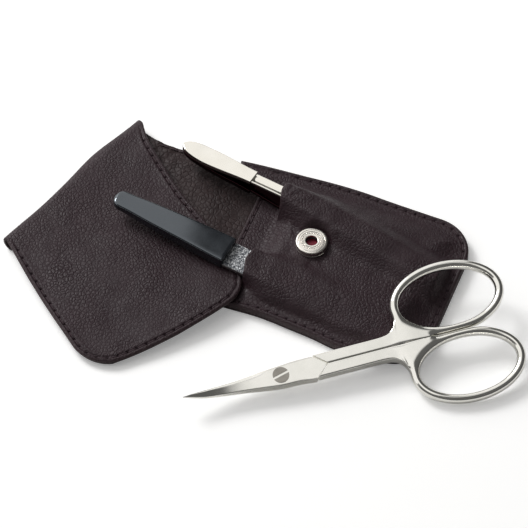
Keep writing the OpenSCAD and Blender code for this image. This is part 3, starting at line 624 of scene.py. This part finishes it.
def panel_mesh():
    """both faces of the front, cut open along the two slits and whole between them"""
    points, faces, holes, worn = [], [], [], []
    whole = (1 - slit_open(panel_v[:, 0])) > 0.5
    grids = []
    for drop in (0.0, leather_t):
        left, left_hole, left_cut = panel_face(strip_share, False, drop)
        right, right_hole, right_cut = panel_face(body_share, True, drop)
        ids_left = np.arange(left[..., 0].size).reshape(left.shape[:2]) + len(points)
        points += list(left.reshape(-1, 3))
        ids_right = np.arange(right[..., 0].size).reshape(right.shape[:2]) + len(points)
        points += list(right.reshape(-1, 3))
        holes += list(left_hole.ravel()) + list(right_hole.ravel())
        worn += list(left_cut.ravel()) + list(right_cut.ravel())
        ids_right[whole, 0] = ids_left[whole, -1]
        grids.append((ids_left, ids_right))
    for pair, order in zip(grids, (1, -1)):
        for grid in pair:
            corners = grid[:-1, :-1], grid[:-1, 1:], grid[1:, 1:], grid[1:, :-1]
            faces += list(np.stack([corner.ravel() for corner in corners], 1)[:, ::order])
    (strip, body), (strip_low, body_low) = grids
    top, low = (np.concatenate([pair[0], pair[1][:, 1:]], 1) for pair in grids)
    faces += wall(top[0, ::-1], low[0, ::-1]) + wall(top[-1], low[-1])
    faces += wall(strip[:, 0], strip_low[:, 0]) + wall(body[::-1, -1], body_low[::-1, -1])
    for k in range(len(whole) - 1):
        if not (whole[k] and whole[k + 1]):
            faces += wall(strip[[k + 1, k], -1], strip_low[[k + 1, k], -1])
            faces += wall(body[[k, k + 1], 0], body_low[[k, k + 1], 0])
    return points, faces, holes, worn


panel_points, panel_faces, panel_hole, panel_worn = panel_mesh()
front = piece("front_leather", panel_points, panel_faces, leather, 50)
# the hole mark sinks the needle holes and paints shade into them
set_mark(front, "hole", panel_hole)
set_mark(front, "worn", panel_worn)
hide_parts("front_panel")
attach(front, "case")


# ---- Stitches ----
# Dark bonded thread, one line of lockstitch round the pocket, the flap and the open back. Each stitch lies in
# the seam's groove between two needle holes that are pulled open a little.

thread, thread_start, thread_feed = new_finish("bonded_thread")
mm = in_mm(thread_start)
twist = mm.node("TexWave", {"wave_type": "BANDS", "bands_direction": "DIAGONAL"},
                {"Vector": mm, "Scale": 0.9, "Distortion": 0.6})
fuzz = cloudy(mm, 0.3)
thread_feed(Base_Color=(fuzz * 0.6 + twist * 0.4).clamp().blend(dye(24, 12, 17), dye(66, 44, 52)),
            Roughness=0.6 + 0.2 * fuzz,
            Normal=mm.node("Bump", inputs={"Height": twist, "Strength": 0.5, "Distance": 0.00005}))


def loft(sections):
    """a closed skin through rings of points, capped at both ends"""
    n = len(sections[0])
    last = (len(sections) - 1) * n
    band = [(j, (j + 1) % n, (j + 1) % n + n, j + n) for j in range(n)]
    faces = [[k + corner for corner in face] for k in range(0, last, n) for face in band]
    return [spot for ring in sections for spot in ring], [*faces, range(n)[::-1], range(last, last + n)]


def sew(name, stitches, node, body):
    """a row of stitches, each from one hole to the next across the leather's face"""
    points, faces, thread_r = [], [], 0.17
    for start, end in stitches:
        ahead = (end - start) / np.linalg.norm(end - start)
        side = np.cross((0, 0, 1), ahead)
        side /= np.linalg.norm(side)
        up = np.cross(ahead, side)
        rings = []
        for t in np.linspace(0.04, 0.96, 9):
            centre = start + (end - start) * t + up * (0.1 - 0.42 * abs(2 * t - 1) ** 5)
            rings.append([centre + thread_r * (math.cos(turn) * side * 1.15 + math.sin(turn) * up * 0.9)
                          for turn in np.linspace(0, 2 * math.pi, 8, endpoint=False)])
        skin, shell = loft(rings)
        faces += [[len(points) + k for k in face] for face in shell]
        points += skin
    made = piece(name, points, faces, thread, 80)
    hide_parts(node)
    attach(made, body)


in_groove = 0.2


def on_panel(x, y):
    """a seam's place in the groove of the front"""
    x, y = np.array([float(x)]), np.array([float(y)])
    height = panel_low + panel_height(x, y, np.where(x > slit_x(y), 1.0, 0.0))
    return np.stack([mouth_pull(x, y), pulled(x, y), height - in_groove], -1)[0]


def flap_spot(a, v):
    """a seam's place in the groove of the flap"""
    return on_flap(np.array([float(a)]), np.array([float(v)]), np.array([in_groove]))[0]


def back_spot(x, side):
    """a seam's place on the open back's lining"""
    x, y = np.array([float(x)]), np.array([side * (half_w - stitch_in)])
    return on_back(x, y, np.array([leather_t + lining_t + glue]))[0]


def runs(seam, spot):
    """the stitches of a seam, from needle hole to needle hole"""
    holes = [spot(p, q) for k, p, q, turn in seam if k % 2]
    return [(a, b) for a, b in zip(holes, holes[1:]) if np.linalg.norm(b - a) < 1.5 * stitch_pitch]


sew("pocket_stitches", runs(panel_seam, on_panel), "seam_pocket", "case")
sew("mouth_stitches", runs(mouth_seam, on_panel), "seam_mouth", "case")
back_stitches = []
for side in (-1, 1):
    back_places = np.arange(mouth_x - 1.2, fold_x + side * math.tan(skew) * half_w + 7, -stitch_pitch)
    back_stitches += [(back_spot(a, side), back_spot(b, side)) for a, b in zip(back_places, back_places[1:])]
sew("back_stitches", back_stitches, "seam_back", "case")
fixed_run, end_run = [], []
for a, b in runs(flap_seam, flap_spot):
    past = ((a + b)[:2] / 2 - bend_at) @ bend_out
    (end_run if past > 0 else fixed_run).append((a, b))
sew("flap_stitches", fixed_run, "seam_flap", "case")
sew("flap_end_stitches", end_run, "seam_flap_end", "flap_end")


# ---- Clasp ----
# A magnetic clasp. Its cover is spun from thin nickelled sheet over a ring magnet, with fine turned lines, a
# ring of beads and a round recess; its base has two prongs that turn in behind the leather.

def spin(name, profile, material, at, sides=96, sharp=30):
    """a turned piece from (radius, height) pairs, listed from its outside to its inside"""
    points, faces = [], []
    for k in range(sides):
        turn = 2 * math.pi * k / sides
        points += [(at[0] + r * math.cos(turn), at[1] + r * math.sin(turn), at[2] + z) for r, z in profile]
    n = len(profile)
    for k in range(sides):
        a, b = k * n, (k + 1) % sides * n
        faces += [(a + j, b + j, b + (j + 1) % n, a + (j + 1) % n) for j in range(n)]
    return piece(name, points, faces, material, sharp)


def round_over(centre_r, centre_z, r, first, last, steps=6):
    """part of a turned profile, a rounding from one angle to another"""
    return [(centre_r + r * math.cos(math.radians(t)), centre_z + r * math.sin(math.radians(t)))
            for t in np.linspace(first, last, steps)]


def bright_metal(name, light, dark, rough, smears=0.1, turned_at=None, painted_shade=None, sunk=None):
    """polished metal with faint clouding, hairlines and fingermarks. It can have fine lines turned about a
    place, and painted shade where a piece is marked for it or, if sunk, below a height over a place"""
    material, start, feed = new_finish(name)
    mm = in_mm(start)
    cloud = cloudy(mm, 5.0, 3.0)
    stretched = start.node("Mapping", inputs={"Vector": mm, "Scale": (0.25, 4.0, 4.0)})
    hair = cloudy(stretched, 0.5, 2.0)
    height = hair * 0.3 + cloud * 0.2
    rough_map = rough + smears * (cloud - 0.4) + 0.06 * (hair - 0.5)
    if turned_at is not None:
        centred = start.node("VectorMath", {"operation": "SUBTRACT"}, {0: mm, 1: turned_at})
        flat = start.node("VectorMath", {"operation": "MULTIPLY"}, {0: centred, 1: (1, 1, 0)})
        radius = start.node("VectorMath", {"operation": "LENGTH"}, {0: flat}, out="Value")
        lines = start.sum("SINE", radius * 38.0, 0)
        height = height + 0.25 * lines
        rough_map = rough_map + 0.05 * lines
    colour = (cloud * 1.6 - 0.3).clamp().blend(dark, light)
    # the marked or sunk parts are painted darker: painted shade and painted reflection, not tarnish
    if painted_shade is not None:
        where = start.node("Attribute", {"attribute_name": "painted_shade_mask"}, out="Fac")
        if sunk is not None:
            place, up, level = sunk
            away = start.node("VectorMath", {"operation": "SUBTRACT"}, {0: mm, 1: tuple(place)})
            rise = start.node("VectorMath", {"operation": "DOT_PRODUCT"}, {0: away, 1: tuple(up)},
                              out="Value")
            where = ((level - rise) * 12.0).clamp()
        colour = where.blend(colour, painted_shade)
    feed(Base_Color=colour, Metallic=1.0, Roughness=rough_map.clamp(),
         Normal=start.node("Bump", inputs={"Height": height, "Strength": 0.12, "Distance": 0.00002}))
    return material


clasp_z, clasp_r, clasp_h, recess_r, cover_t = 6.1, 4.2, 1.8, 1.6, 0.25
clasp_place = (clasp_at[0], clasp_at[1], clasp_z)
clasp_nickel = bright_metal("turned_nickel", dye(247, 243, 236), dye(226, 220, 212), 0.2, 0.1, clasp_place)
cover_profile = (
    [(clasp_r - cover_t, 0.02), (clasp_r, 0.02), (clasp_r, 0.12), (clasp_r + 0.06, 0.2), (clasp_r, 0.3)]
    + round_over(clasp_r - 0.3, clasp_h - 0.33, 0.3, 0, 78)
    + [(clasp_r - 0.62, clasp_h - 0.02), (clasp_r - 0.7, clasp_h - 0.09), (clasp_r - 0.78, clasp_h - 0.03)]
    + [(3.0, clasp_h), (2.88, clasp_h - 0.13), (2.18, clasp_h - 0.13), (2.06, clasp_h)]
    + round_over(recess_r + 0.1, clasp_h - 0.1, 0.1, 90, 180, 5)
    + [(recess_r, clasp_h - 2 * cover_t), (recess_r + cover_t, clasp_h - 2 * cover_t),
       (recess_r + cover_t, clasp_h - cover_t - 0.1), (clasp_r - 0.6, clasp_h - cover_t - 0.1),
       (clasp_r - cover_t, clasp_h - 0.6)])
cover = spin("clasp_spun_cover", cover_profile, clasp_nickel, clasp_place)
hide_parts("clasp_cover")
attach(cover, "case")

bead_points, bead_faces = [], []
bead_r, bead_ring_r, bead_count = 0.19, 2.53, 34
for k in range(bead_count):
    turn = 2 * math.pi * k / bead_count
    centre = np.array(clasp_place)
    centre = centre + (bead_ring_r * math.cos(turn), bead_ring_r * math.sin(turn), clasp_h - 0.13)
    first = len(bead_points)
    for rise in np.radians((0, 30, 60)):
        r, z = bead_r * math.cos(rise), bead_r * math.sin(rise)
        bead_points += [centre + (r * math.cos(math.pi * j / 4), r * math.sin(math.pi * j / 4), z)
                        for j in range(8)]
    bead_points.append(centre + (0, 0, bead_r))
    for j in range(8):
        a, b = first + j, first + (j + 1) % 8
        bead_faces += [(a, b, b + 8, a + 8), (a + 8, b + 8, b + 16, a + 16), (a + 16, b + 16, first + 24)]
    bead_faces.append(range(first, first + 8)[::-1])
beads = piece("clasp_beads", bead_points, bead_faces, clasp_nickel, 80)
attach(beads, "case")


def mottled(name, dark, light, size, metallic, rough, varied, depth):
    """a pressed powder, or a painted reflection, that is uneven in patches of this size, in mm"""
    material, start, feed = new_finish(name)
    patches = cloudy(in_mm(start), size, 3.0)
    feed(Base_Color=patches.blend(dark, light), Metallic=metallic, Roughness=rough + varied * patches,
         Normal=start.node("Bump", inputs={"Height": patches, "Strength": 0.4, "Distance": depth * 0.001}))
    return material


def finish(material, *nodes):
    """the finish of pieces that keep their shape from the part's source"""
    for node in nodes:
        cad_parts[node].data.materials[0] = material


# the recess floor's dark red is painted reflection of the leather, its lighter patches painted highlights
recess_reflection_paint = mottled("painted_recess_reflection", dye(70, 10, 26), dye(150, 34, 56), 0.9, 0.35, 0.22, 0.2, 0.08)
ferrite = mottled("sintered_magnet", dye(40, 41, 44), dye(74, 75, 80), 0.15, 0.2, 0.5, 0.3, 0.04)
finish(recess_reflection_paint, "clasp_base")
finish(ferrite, "clasp_magnet")
finish(bright_metal("rolled_plate", dye(206, 200, 192), dye(150, 145, 140), 0.36, 0.2),
       "clasp_washer", "stud_washer")


# ---- Stud ----
# The clasp's other half, a nickelled steel plate with a boss that drops into the recess. Its prongs go up
# through the lining and turn in over a washer that the leather hides.

finish(bright_metal("stud_nickel", dye(226, 220, 212), dye(180, 174, 166), 0.26), "stud_plate")


# ---- Tweezers ----
# Two halves pressed from nickelled steel strip, welded at the leaf-shaped head and sprung apart behind it.
# The head is polished flat; the arms step in behind it and are fluted along their backs.

def tool_frame(at, z, turn, fall, start=0.0):
    """turns a tool's own points, x along it, into the case's frame"""
    cos_f, sin_f, cos_t, sin_t = math.cos(fall), math.sin(fall), math.cos(turn), math.sin(turn)
    axes = np.array([[cos_t * cos_f, sin_t * cos_f, -sin_f], [-sin_t, cos_t, 0],
                     [cos_t * sin_f, sin_t * sin_f, cos_f]])
    return lambda points: (np.asarray(points, float) - (start, 0, 0)) @ axes + (*at, z)


head_len, head_half, neck_half, arm_half, tip_half = 22, 2.6, 1.95, 1.6, 1.2


def half_width(s):
    """half of the tweezers' width, s from the head's end"""
    widest = 9
    if s < widest:
        return head_half * math.sqrt(max(0, 1 - (1 - s / widest) ** 2.5))
    if s <= head_len:
        return head_half + (neck_half - head_half) * float(ease((s - widest) / (head_len - widest)))
    return arm_half + (tip_half - arm_half) * float(ease((s - 42) / (tweezers_len - 42)))


def section(s, half, low, high, edge, turns, across, raised):
    """one cross-section of a strip: half its width, its inner and outer faces and its edges' radius"""
    ring = []
    for cy, cz, first in ((half - edge, low + edge, -90), (half - edge, high - edge, 0),
                          (edge - half, high - edge, 90), (edge - half, low + edge, 180)):
        ring += [(s, cy + edge * math.cos(t), cz + edge * math.sin(t)) for t in np.radians(first + turns)]
        inside = np.linspace(half - edge, edge - half, across)[1:-1]
        if first == 0:
            ring += [(s, y, high + raised(y)) for y in inside]
        if first == 180:
            ring += [(s, y, low) for y in inside[::-1]]
    return ring


def arm_section(s, half, thick, edge, flute=0.0):
    """one cross-section of a tweezers' half, fluted along its back"""
    gap = float(half_gap(s))
    return section(s, half, gap, gap + thick, min(edge, half * 0.45, thick * 0.3), np.arange(0, 91, 30), 17,
                   lambda y: -flute * max(0, math.cos(math.pi * y / (1.5 * half))))


# the dark red-brown is painted reflection of the leather and painted shade between the arms
tweezers_nickel = bright_metal("tweezers_nickel", dye(247, 244, 236), dye(236, 232, 222), 0.09, 0.05,
                               painted_shade=dye(52, 30, 34))
place_tweezers = tool_frame(tweezers_at, tweezers_z, tweezers_turn, tweezers_fall, tweezers_out)
head_places = [0.03, 0.1, 0.25, 0.5, 0.9, 1.4, 2, 2.7, 3.5, 4.5, 5.5, 7, 8.5, *range(10, 21, 2)]
sections = []
for s in [*head_places, 21.4, 21.9, head_len]:
    thick, edge = 1.4 - 0.25 * math.exp(-s / 0.8), 0.16 + 0.5 * math.exp(-s / 0.6)
    sections.append(arm_section(s, max(0.08, half_width(s)), thick, edge))
sections.append(arm_section(22.05, 1.9, 1.3, 0.2))
for s in [22.12, 22.4, *np.linspace(23.2, tweezers_len, 46)]:
    thick = arm_t - 0.3 * max(0, (s - tweezers_out) / (tweezers_len - tweezers_out)) ** 2
    sections.append(arm_section(s, half_width(s), thick, 0.2, 0.42 if 22.3 < s < 60 else 0.0))
arm_points, arm_faces = loft(sections)
for side, node, body, bright, shade_weight in ((1, "tweezers_upper_half", "tweezers", range(4, 27), 0.85),
                                         (-1, "tweezers_lower_half", "tweezers_arm", range(8, 23), 1.0)):
    points = place_tweezers(np.array(arm_points) * (1, side, side))
    made = piece(node.replace("half", "arm"), points, arm_faces, tweezers_nickel, 40)
    # all but the outward face of each arm is painted dark: painted reflection and painted shade
    painted_shade = [0.0 if k in bright else shade_weight for k in range(len(sections[0]))]
    set_mark(made, "painted_shade_mask", painted_shade * len(sections))
    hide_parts(node)
    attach(made, body)


# ---- Nail file ----
# A flat steel blade with a hard grit bonded to both sides, moulded into a glossy black handle that thins
# towards its rounded end.

black, start, feed = new_finish("glossy_black_moulding")
mm = in_mm(start)
haze = cloudy(mm, 4.0, 3.0)
scratch = cloudy(start.node("Mapping", inputs={"Vector": mm, "Scale": (0.3, 3.0, 3.0)}), 0.6, 2.0)
feed(Base_Color=haze.blend(dye(8, 9, 13), dye(15, 18, 25)), IOR=2.1, Specular_Tint=(0.84, 0.92, 1.0, 1),
     Roughness=(0.07 + 0.1 * (haze - 0.4) + 0.04 * scratch).clamp(),
     Normal=start.node("Bump", inputs={"Height": haze + 0.2 * scratch, "Strength": 0.1, "Distance": 0.00005}))
place_file = tool_frame(file_at, blade_z, file_turn, file_fall)
handle_len, end_curve, nose_curve = 34.4, 2.6, 1.2


def rounded_end(s, curve, least):
    """how much of the handle's size is left near its free end, which is rounded over this length"""
    return math.sqrt(max(1 - max(0.0, (s - (handle_len - curve)) / curve) ** 2, least))


def handle_section(s):
    """the handle's cross-section, s from the blade towards its free end"""
    half = through(s, [(0, 4.1), (10.3, 3.75), (22, 3.2), (31.8, 2.6)]) * rounded_end(s, end_curve, 0.002)
    thick = through(s, [(0, 3.8), (12, 3.7), (24, 2.95), (33.2, 2.4)]) * rounded_end(s, nose_curve, 0.01)
    middle = 0.5 + 0.3 * ease(s / 33)
    edge = min(0.55, half * 0.6, thick * 0.45)
    return section(-s, half, middle - thick / 2, middle + thick / 2, edge, np.arange(0, 91, 18), 9,
                   lambda y: 0.12 * (1 - (y / half) ** 2))


end_places = handle_len - end_curve * (1 - np.sin(np.radians(np.linspace(8, 88, 12))))
stations = np.concatenate([[0.0, 0.06, 0.2, 0.4], np.linspace(0.8, 31.6, 42), end_places, [34.37]])
sections = [np.array(handle_section(s)) for s in stations]
for ring, shrink in zip(sections, (0.3, 0.12, 0.03)):
    ring[:, 1:] -= np.sign(ring[:, 1:] - ring.mean(0)[1:]) * shrink
points, faces = loft(sections)
handle = piece("file_moulded_handle", place_file(points), faces, black, 50)
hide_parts("file_handle")
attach(handle, "nail_file")

finish(bright_metal("file_steel", dye(206, 206, 204), dye(176, 178, 178), 0.28, 0.1), "file_blade")

grit, start, feed = new_finish("bonded_grit")
crystals = {"Vector": in_mm(start), "Scale": 3.6, "Randomness": 1.0}
crystal = start.node("TexVoronoi", inputs=crystals, out="Color")
crystal = start.node("SeparateColor", inputs={0: crystal}, out=0)
facet = start.node("TexVoronoi", inputs=crystals, out="Distance")
feed(Base_Color=(crystal ** 2.2).blend(dye(72, 76, 84), dye(246, 248, 250)), Metallic=0.25,
     Roughness=0.35 + 0.3 * crystal,
     Normal=start.node("Bump", inputs={"Height": crystal - facet, "Strength": 1.0, "Distance": 0.00012}))
finish(grit, "file_grit_upper", "file_grit_lower")


# ---- Nail scissors ----
# Two forged halves, nickel plated and polished, with curved blades whose backs are thick and whose edges are
# ground thin. Each is one forging: blade, flat lap at the screw, square shank and round finger ring.

steel = bright_metal("scissors_nickel", dye(246, 244, 238), dye(228, 227, 220), 0.1, 0.05)
screw_place = np.array([-2.5, -half_w - 15.75, 3.85])
roll, pitch, turn = math.radians(12.8), math.radians(2.6), math.radians(37)
rolled = np.array([[1, 0, 0], [0, math.cos(roll), -math.sin(roll)], [0, math.sin(roll), math.cos(roll)]])
pitched = np.array([[math.cos(pitch), 0, -math.sin(pitch)], [0, 1, 0], [math.sin(pitch), 0, math.cos(pitch)]])
turned = np.array([[math.cos(turn), -math.sin(turn), 0], [math.sin(turn), math.cos(turn), 0], [0, 0, 1]])
lean = turned @ pitched @ rolled


def place_scissors(points):
    """turns points as forged, x along the closed scissors, into the case's frame"""
    return np.asarray(points, float) @ lean.T + screw_place


shank_half, ring_at, curve_r, flat_r = 1.5, np.array([47.4, 9.65]), 92.0, 3.2
tip_x, lap_x, lap_high, lap_low, lap_reach = -26, 8.8, 2.8, -3.4, 3.4


def sweep(r):
    """the blades' curve: how far they rise at this distance from the screw"""
    beyond = np.maximum(0, r - flat_r)
    return curve_r - np.sqrt(curve_r**2 - beyond**2)


def blade_edges(x):
    """a blade's lower and upper outline, x along it from the screw"""
    upper = through(x, [(tip_x, 0.35), (-24.5, 0.55), (-22.9, 0.7), (-17.4, 1.2), (-12.2, 1.55), (-6.8, 2.05),
                        (-1.3, 2.45), (4, 2.8), (lap_x, lap_high)])
    lower = through(x, [(tip_x, 0.2), (-24.5, -0.1), (-23.4, -0.35), (-20.8, -0.85), (-15.6, -1.3),
                        (-10.4, -1.65), (-5.2, -2.2), (0, -2.8), (5, -2.95), (lap_x, lap_low)])
    return lower, upper


def blade_skin(side):
    """a blade with its lap, whose back is thick and whose edge is ground thin"""
    shares = np.array([0, 0.03, 0.08, 0.15, 0.24, 0.34, 0.45, 0.56, 0.67, 0.78, 0.88, 0.95, 1.0])
    plan = []
    for x in [tip_x, -25.8, -25.4, -24.8, *np.linspace(-24, 8.0, 60), lap_x]:
        lower, upper = blade_edges(x)
        plan.append((x + 0 * shares, lower + (upper - lower) * shares))
    y = plan[-1][1]
    reach = lap_reach * np.where(y > 0, 1 - y / lap_high, 1 - y / lap_low)
    plan += [(lap_x + reach * t, y) for t in (0.25, 0.5, 0.75, 1.0)]
    x, y = np.array(plan).transpose(1, 0, 2)
    r = np.hypot(x, y)
    low_y, high_y = blade_edges(np.minimum(x, lap_x))
    share = (y - low_y) / np.maximum(0.05, high_y - low_y)
    if side < 0:
        share = 1 - share
    ground = ease((-x - 2.5) / 9)
    thick = shank_half - (shank_half - 0.5) * ease((r - flat_r) / 24.8)
    thick = thick * (1 - ground * 0.35 * ease((share - 0.8) / 0.2))
    thick = 0.12 + (thick - 0.12) * (0.35 + 0.65 * ease((x - tip_x) / 2.5))
    rim = np.maximum(0, np.minimum(y - low_y, high_y - y) + 0.02)
    thick = thick - rim_drop(rim + 0.03, 0.16) * 0.8
    outside, inside = (np.stack([x, y, sweep(r) + side * z], -1) for z in (thick, 0.012))
    return closed_sheet(outside, inside)


def handle_cage(side):
    """the shank and ring as a few points, which a subdivision surface rounds"""
    points, faces, creases = [], [], {}
    count, join, crease = 32, 17, 0.62
    ring_rx, ring_ry, bar_half, bar_thick = 14.1, 9.0, 1.29, 1.62
    for k in range(count):
        phi = 2 * math.pi * k / count
        for out, z in ((1, 1), (1, -1), (-1, -1), (-1, 1)):
            x = ring_at[0] + (ring_rx + out * bar_half) * math.cos(phi)
            y = ring_at[1] + (ring_ry + out * bar_half) * math.sin(phi)
            points.append((x, max(y, 0.03 if out > 0 else 1.6), z * bar_thick))
    contact = [12.7, 13.4, 16, 20, 23.8, 26.6, 28.4, 29.6, 30.7, 31.9, 33.4, 35.2, 37.4, 39.6]
    upper = [(9.25, 3.1), (10.1, 3.1), (14, 3.1), (18.6, 3.1), (23, 3.1), (26.2, 3.1), (28.6, 3.2),
             (30.4, 3.8), (31.7, 5.2)]
    own = len(upper)
    high, low = [], []
    for j, x in enumerate(contact):
        z = 1.5 + 0.1 * float(ease((x - 29) / 8))
        if j < own:
            high.append((len(points), len(points) + 1))
            points += [(*upper[j], z), (*upper[j], -z)]
        else:
            k = join + j - own
            high.append((4 * k, 4 * k + 1))
        low.append((len(points), len(points) + 1))
        points += [(x, 0.03, z), (x, 0.03, -z)]
    stop = join + len(contact) - own
    high.append((4 * stop, 4 * stop + 1))
    low.append((4 * stop, 4 * stop + 1))
    for k in range(count):
        a, b = 4 * k, 4 * ((k + 1) % count)
        if not join <= k < stop:
            faces.append((a, b, b + 1, a + 1))
        faces += [(a + 1, b + 1, b + 2, a + 2), (a + 2, b + 2, b + 3, a + 3), (a + 3, b + 3, b, a)]
    for j in range(len(contact)):
        (ht, hb), (nt, nb) = high[j], high[j + 1]
        (lt, lb), (mt, mb) = low[j], low[j + 1]
        faces.append((ht, nt, mt, lt) if nt != mt else (ht, nt, lt))
        faces.append((hb, lb, mb, nb) if nb != mb else (hb, lb, nb))
        faces.append((lt, mt, mb, lb))
        creases[lt, mt] = creases[lb, mb] = crease
        if j < own:
            faces.append((ht, hb, nb, nt))
            creases[ht, nt] = creases[hb, nb] = crease - 0.42 * float(ease((j - 6) / 4))
    (ht, hb), (lt, lb) = high[0], low[0]
    faces.append((ht, lt, lb, hb))
    for edge in ((ht, lt), (lt, lb), (lb, hb), (hb, ht)):
        creases[edge] = crease
    return [(x, side * y, z) for x, y, z in points], faces, creases


def half_forging(name, side):
    """a blade and a handle joined into one piece"""
    cage, cage_faces, creases = handle_cage(side)
    mesh = bpy.data.meshes.new(name + "_cage")
    mesh.from_pydata(cage, [], cage_faces)
    weights = mesh.attributes.new("crease_edge", "FLOAT", "EDGE")
    wanted = {tuple(sorted(pair)): value for pair, value in creases.items()}
    weights.data.foreach_set("value", [wanted.get(tuple(sorted(e.vertices)), 0.0) for e in mesh.edges])
    shape = bpy.data.objects.new(name + "_cage", mesh)
    bpy.context.scene.collection.objects.link(shape)
    rounding = shape.modifiers.new("rounding", "SUBSURF")
    rounding.levels = rounding.render_levels = 4
    bpy.context.view_layer.update()
    smooth = shape.evaluated_get(bpy.context.evaluated_depsgraph_get()).to_mesh()
    points = [tuple(v.co) for v in smooth.vertices]
    faces = [tuple(p.vertices) for p in smooth.polygons]
    bpy.data.objects.remove(shape)
    blade_points, blade_faces = blade_skin(side)
    faces += [[k + len(points) for k in face] for face in blade_faces]
    return piece(name, place_scissors(np.concatenate([points, blade_points])), faces, steel, 32)


for side, name, node, body in ((1, "scissors_upper_forging", "scissors_upper_half", "scissors_arm"),
                               (-1, "scissors_lower_forging", "scissors_lower_half", "scissors")):
    made = half_forging(name, side)
    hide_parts(node)
    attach(made, body)

# the screw's slot, below the head's top, is painted near-black: painted shade
finish(bright_metal("screw_steel", dye(188, 184, 176), dye(128, 124, 116), 0.2, 0.12, painted_shade=dye(30, 27, 24),
                    sunk=(screw_place, lean[:, 2], 1.45)), "scissors_screw")


# ---- Table, light and camera ----
# A white table top in soft daylight from above, from the left and a little from behind, with a dimmer room
# in front, and the photograph's camera, high in front and a little to the right.

table, start, feed = new_finish("white_table")
seen, shiny, clear = (start.node("LightPath", out=f"Is {ray} Ray")
                      for ray in ("Camera", "Glossy", "Transmission"))
feed(Base_Color=(seen + shiny + clear).clamp().blend((0.42, 0.42, 0.41, 1), (1.0, 1.0, 0.995, 1)),
     Roughness=0.9, Specular_IOR_Level=0.0, Emission_Color=seen.blend((0, 0, 0, 1), (1, 1, 1, 1)),
     Emission_Strength=0.24)
table_half, table_z = 3.0, -0.0002
corners = [(table_half * x, table_half * y, table_z) for x, y in ((-1, -1), (1, -1), (1, 1), (-1, 1))]
table_mesh = bpy.data.meshes.new("table_top")
table_mesh.from_pydata(corners, [], [(0, 1, 2, 3)])
table_mesh.materials.append(table)
made = bpy.data.objects.new("table_top", table_mesh)
bpy.context.scene.collection.objects.link(made)

world = bpy.context.scene.world or bpy.data.worlds.new("World")
bpy.context.scene.world = world
world.use_nodes = True
sky = Shade(world.node_tree)
toward = sky.node("TexCoord", out="Generated")
sideways, behind, height = (sky.node("SeparateXYZ", inputs={0: toward}, out=axis) for axis in "XYZ")
overhead = ((height - 0.12 * behind - 1.2 * sideways.clamp() - 0.86) * 10.0).clamp()
window = ((0.35 * height + 0.25 * behind - 0.8 * sideways - 0.508) * 60.0).clamp()
low_left = ((-1.0 * sideways - 0.55) * 5.0).clamp()
room = (0.3 + 0.4 * height - 0.25 * behind).clamp()
level = 0.05 + 0.1 * room
level = level + (1 - level) * (overhead * 0.98 + window * 0.98 + low_left * 0.5).clamp()
background = world.node_tree.nodes["Background"]
world.node_tree.links.new(level.socket, background.inputs["Strength"])
background.inputs["Color"].default_value = (1.0, 0.992, 0.98, 1)


def lamp(name, shape, size, radiance, place, aim):
    """a square or round area lamp that looks this bright from any distance"""
    light = bpy.data.lights.new(name, "AREA")
    light.shape, light.size, light.size_y = shape, size, size
    light.energy = radiance * math.pi * size**2 * (math.pi / 4 if shape == "ELLIPSE" else 1)
    made = bpy.data.objects.new(name, light)
    bpy.context.scene.collection.objects.link(made)
    made.location = place
    made.rotation_mode = "QUATERNION"
    made.rotation_quaternion = (Vector(aim) - Vector(place)).to_track_quat("-Z", "Y")


lamp("soft_box", "RECTANGLE", 0.5, 1.3, (-0.78, 0.42, 0.6), (-0.03, 0, 0))
lamp("key_lamp", "ELLIPSE", 0.36, 11.6, (-0.62, 0.22, 0.6), (-0.02, 0, 0))

eye = bpy.data.cameras.new("photo_camera")
eye.sensor_width = 36
eye.lens = 259.1
eye.clip_start, eye.clip_end = 0.05, 20
camera = bpy.data.objects.new("photo_camera", eye)
bpy.context.scene.collection.objects.link(camera)
from_aim = Vector((0.2135, -0.5476, 0.809)).normalized()
camera.rotation_mode = "QUATERNION"
camera.location = Vector((-0.02055, -0.00508, 0)) + from_aim
camera.rotation_quaternion = (-from_aim).to_track_quat("-Z", "Y")
bpy.context.scene.camera = camera
bpy.context.scene.view_settings.view_transform = "Standard"
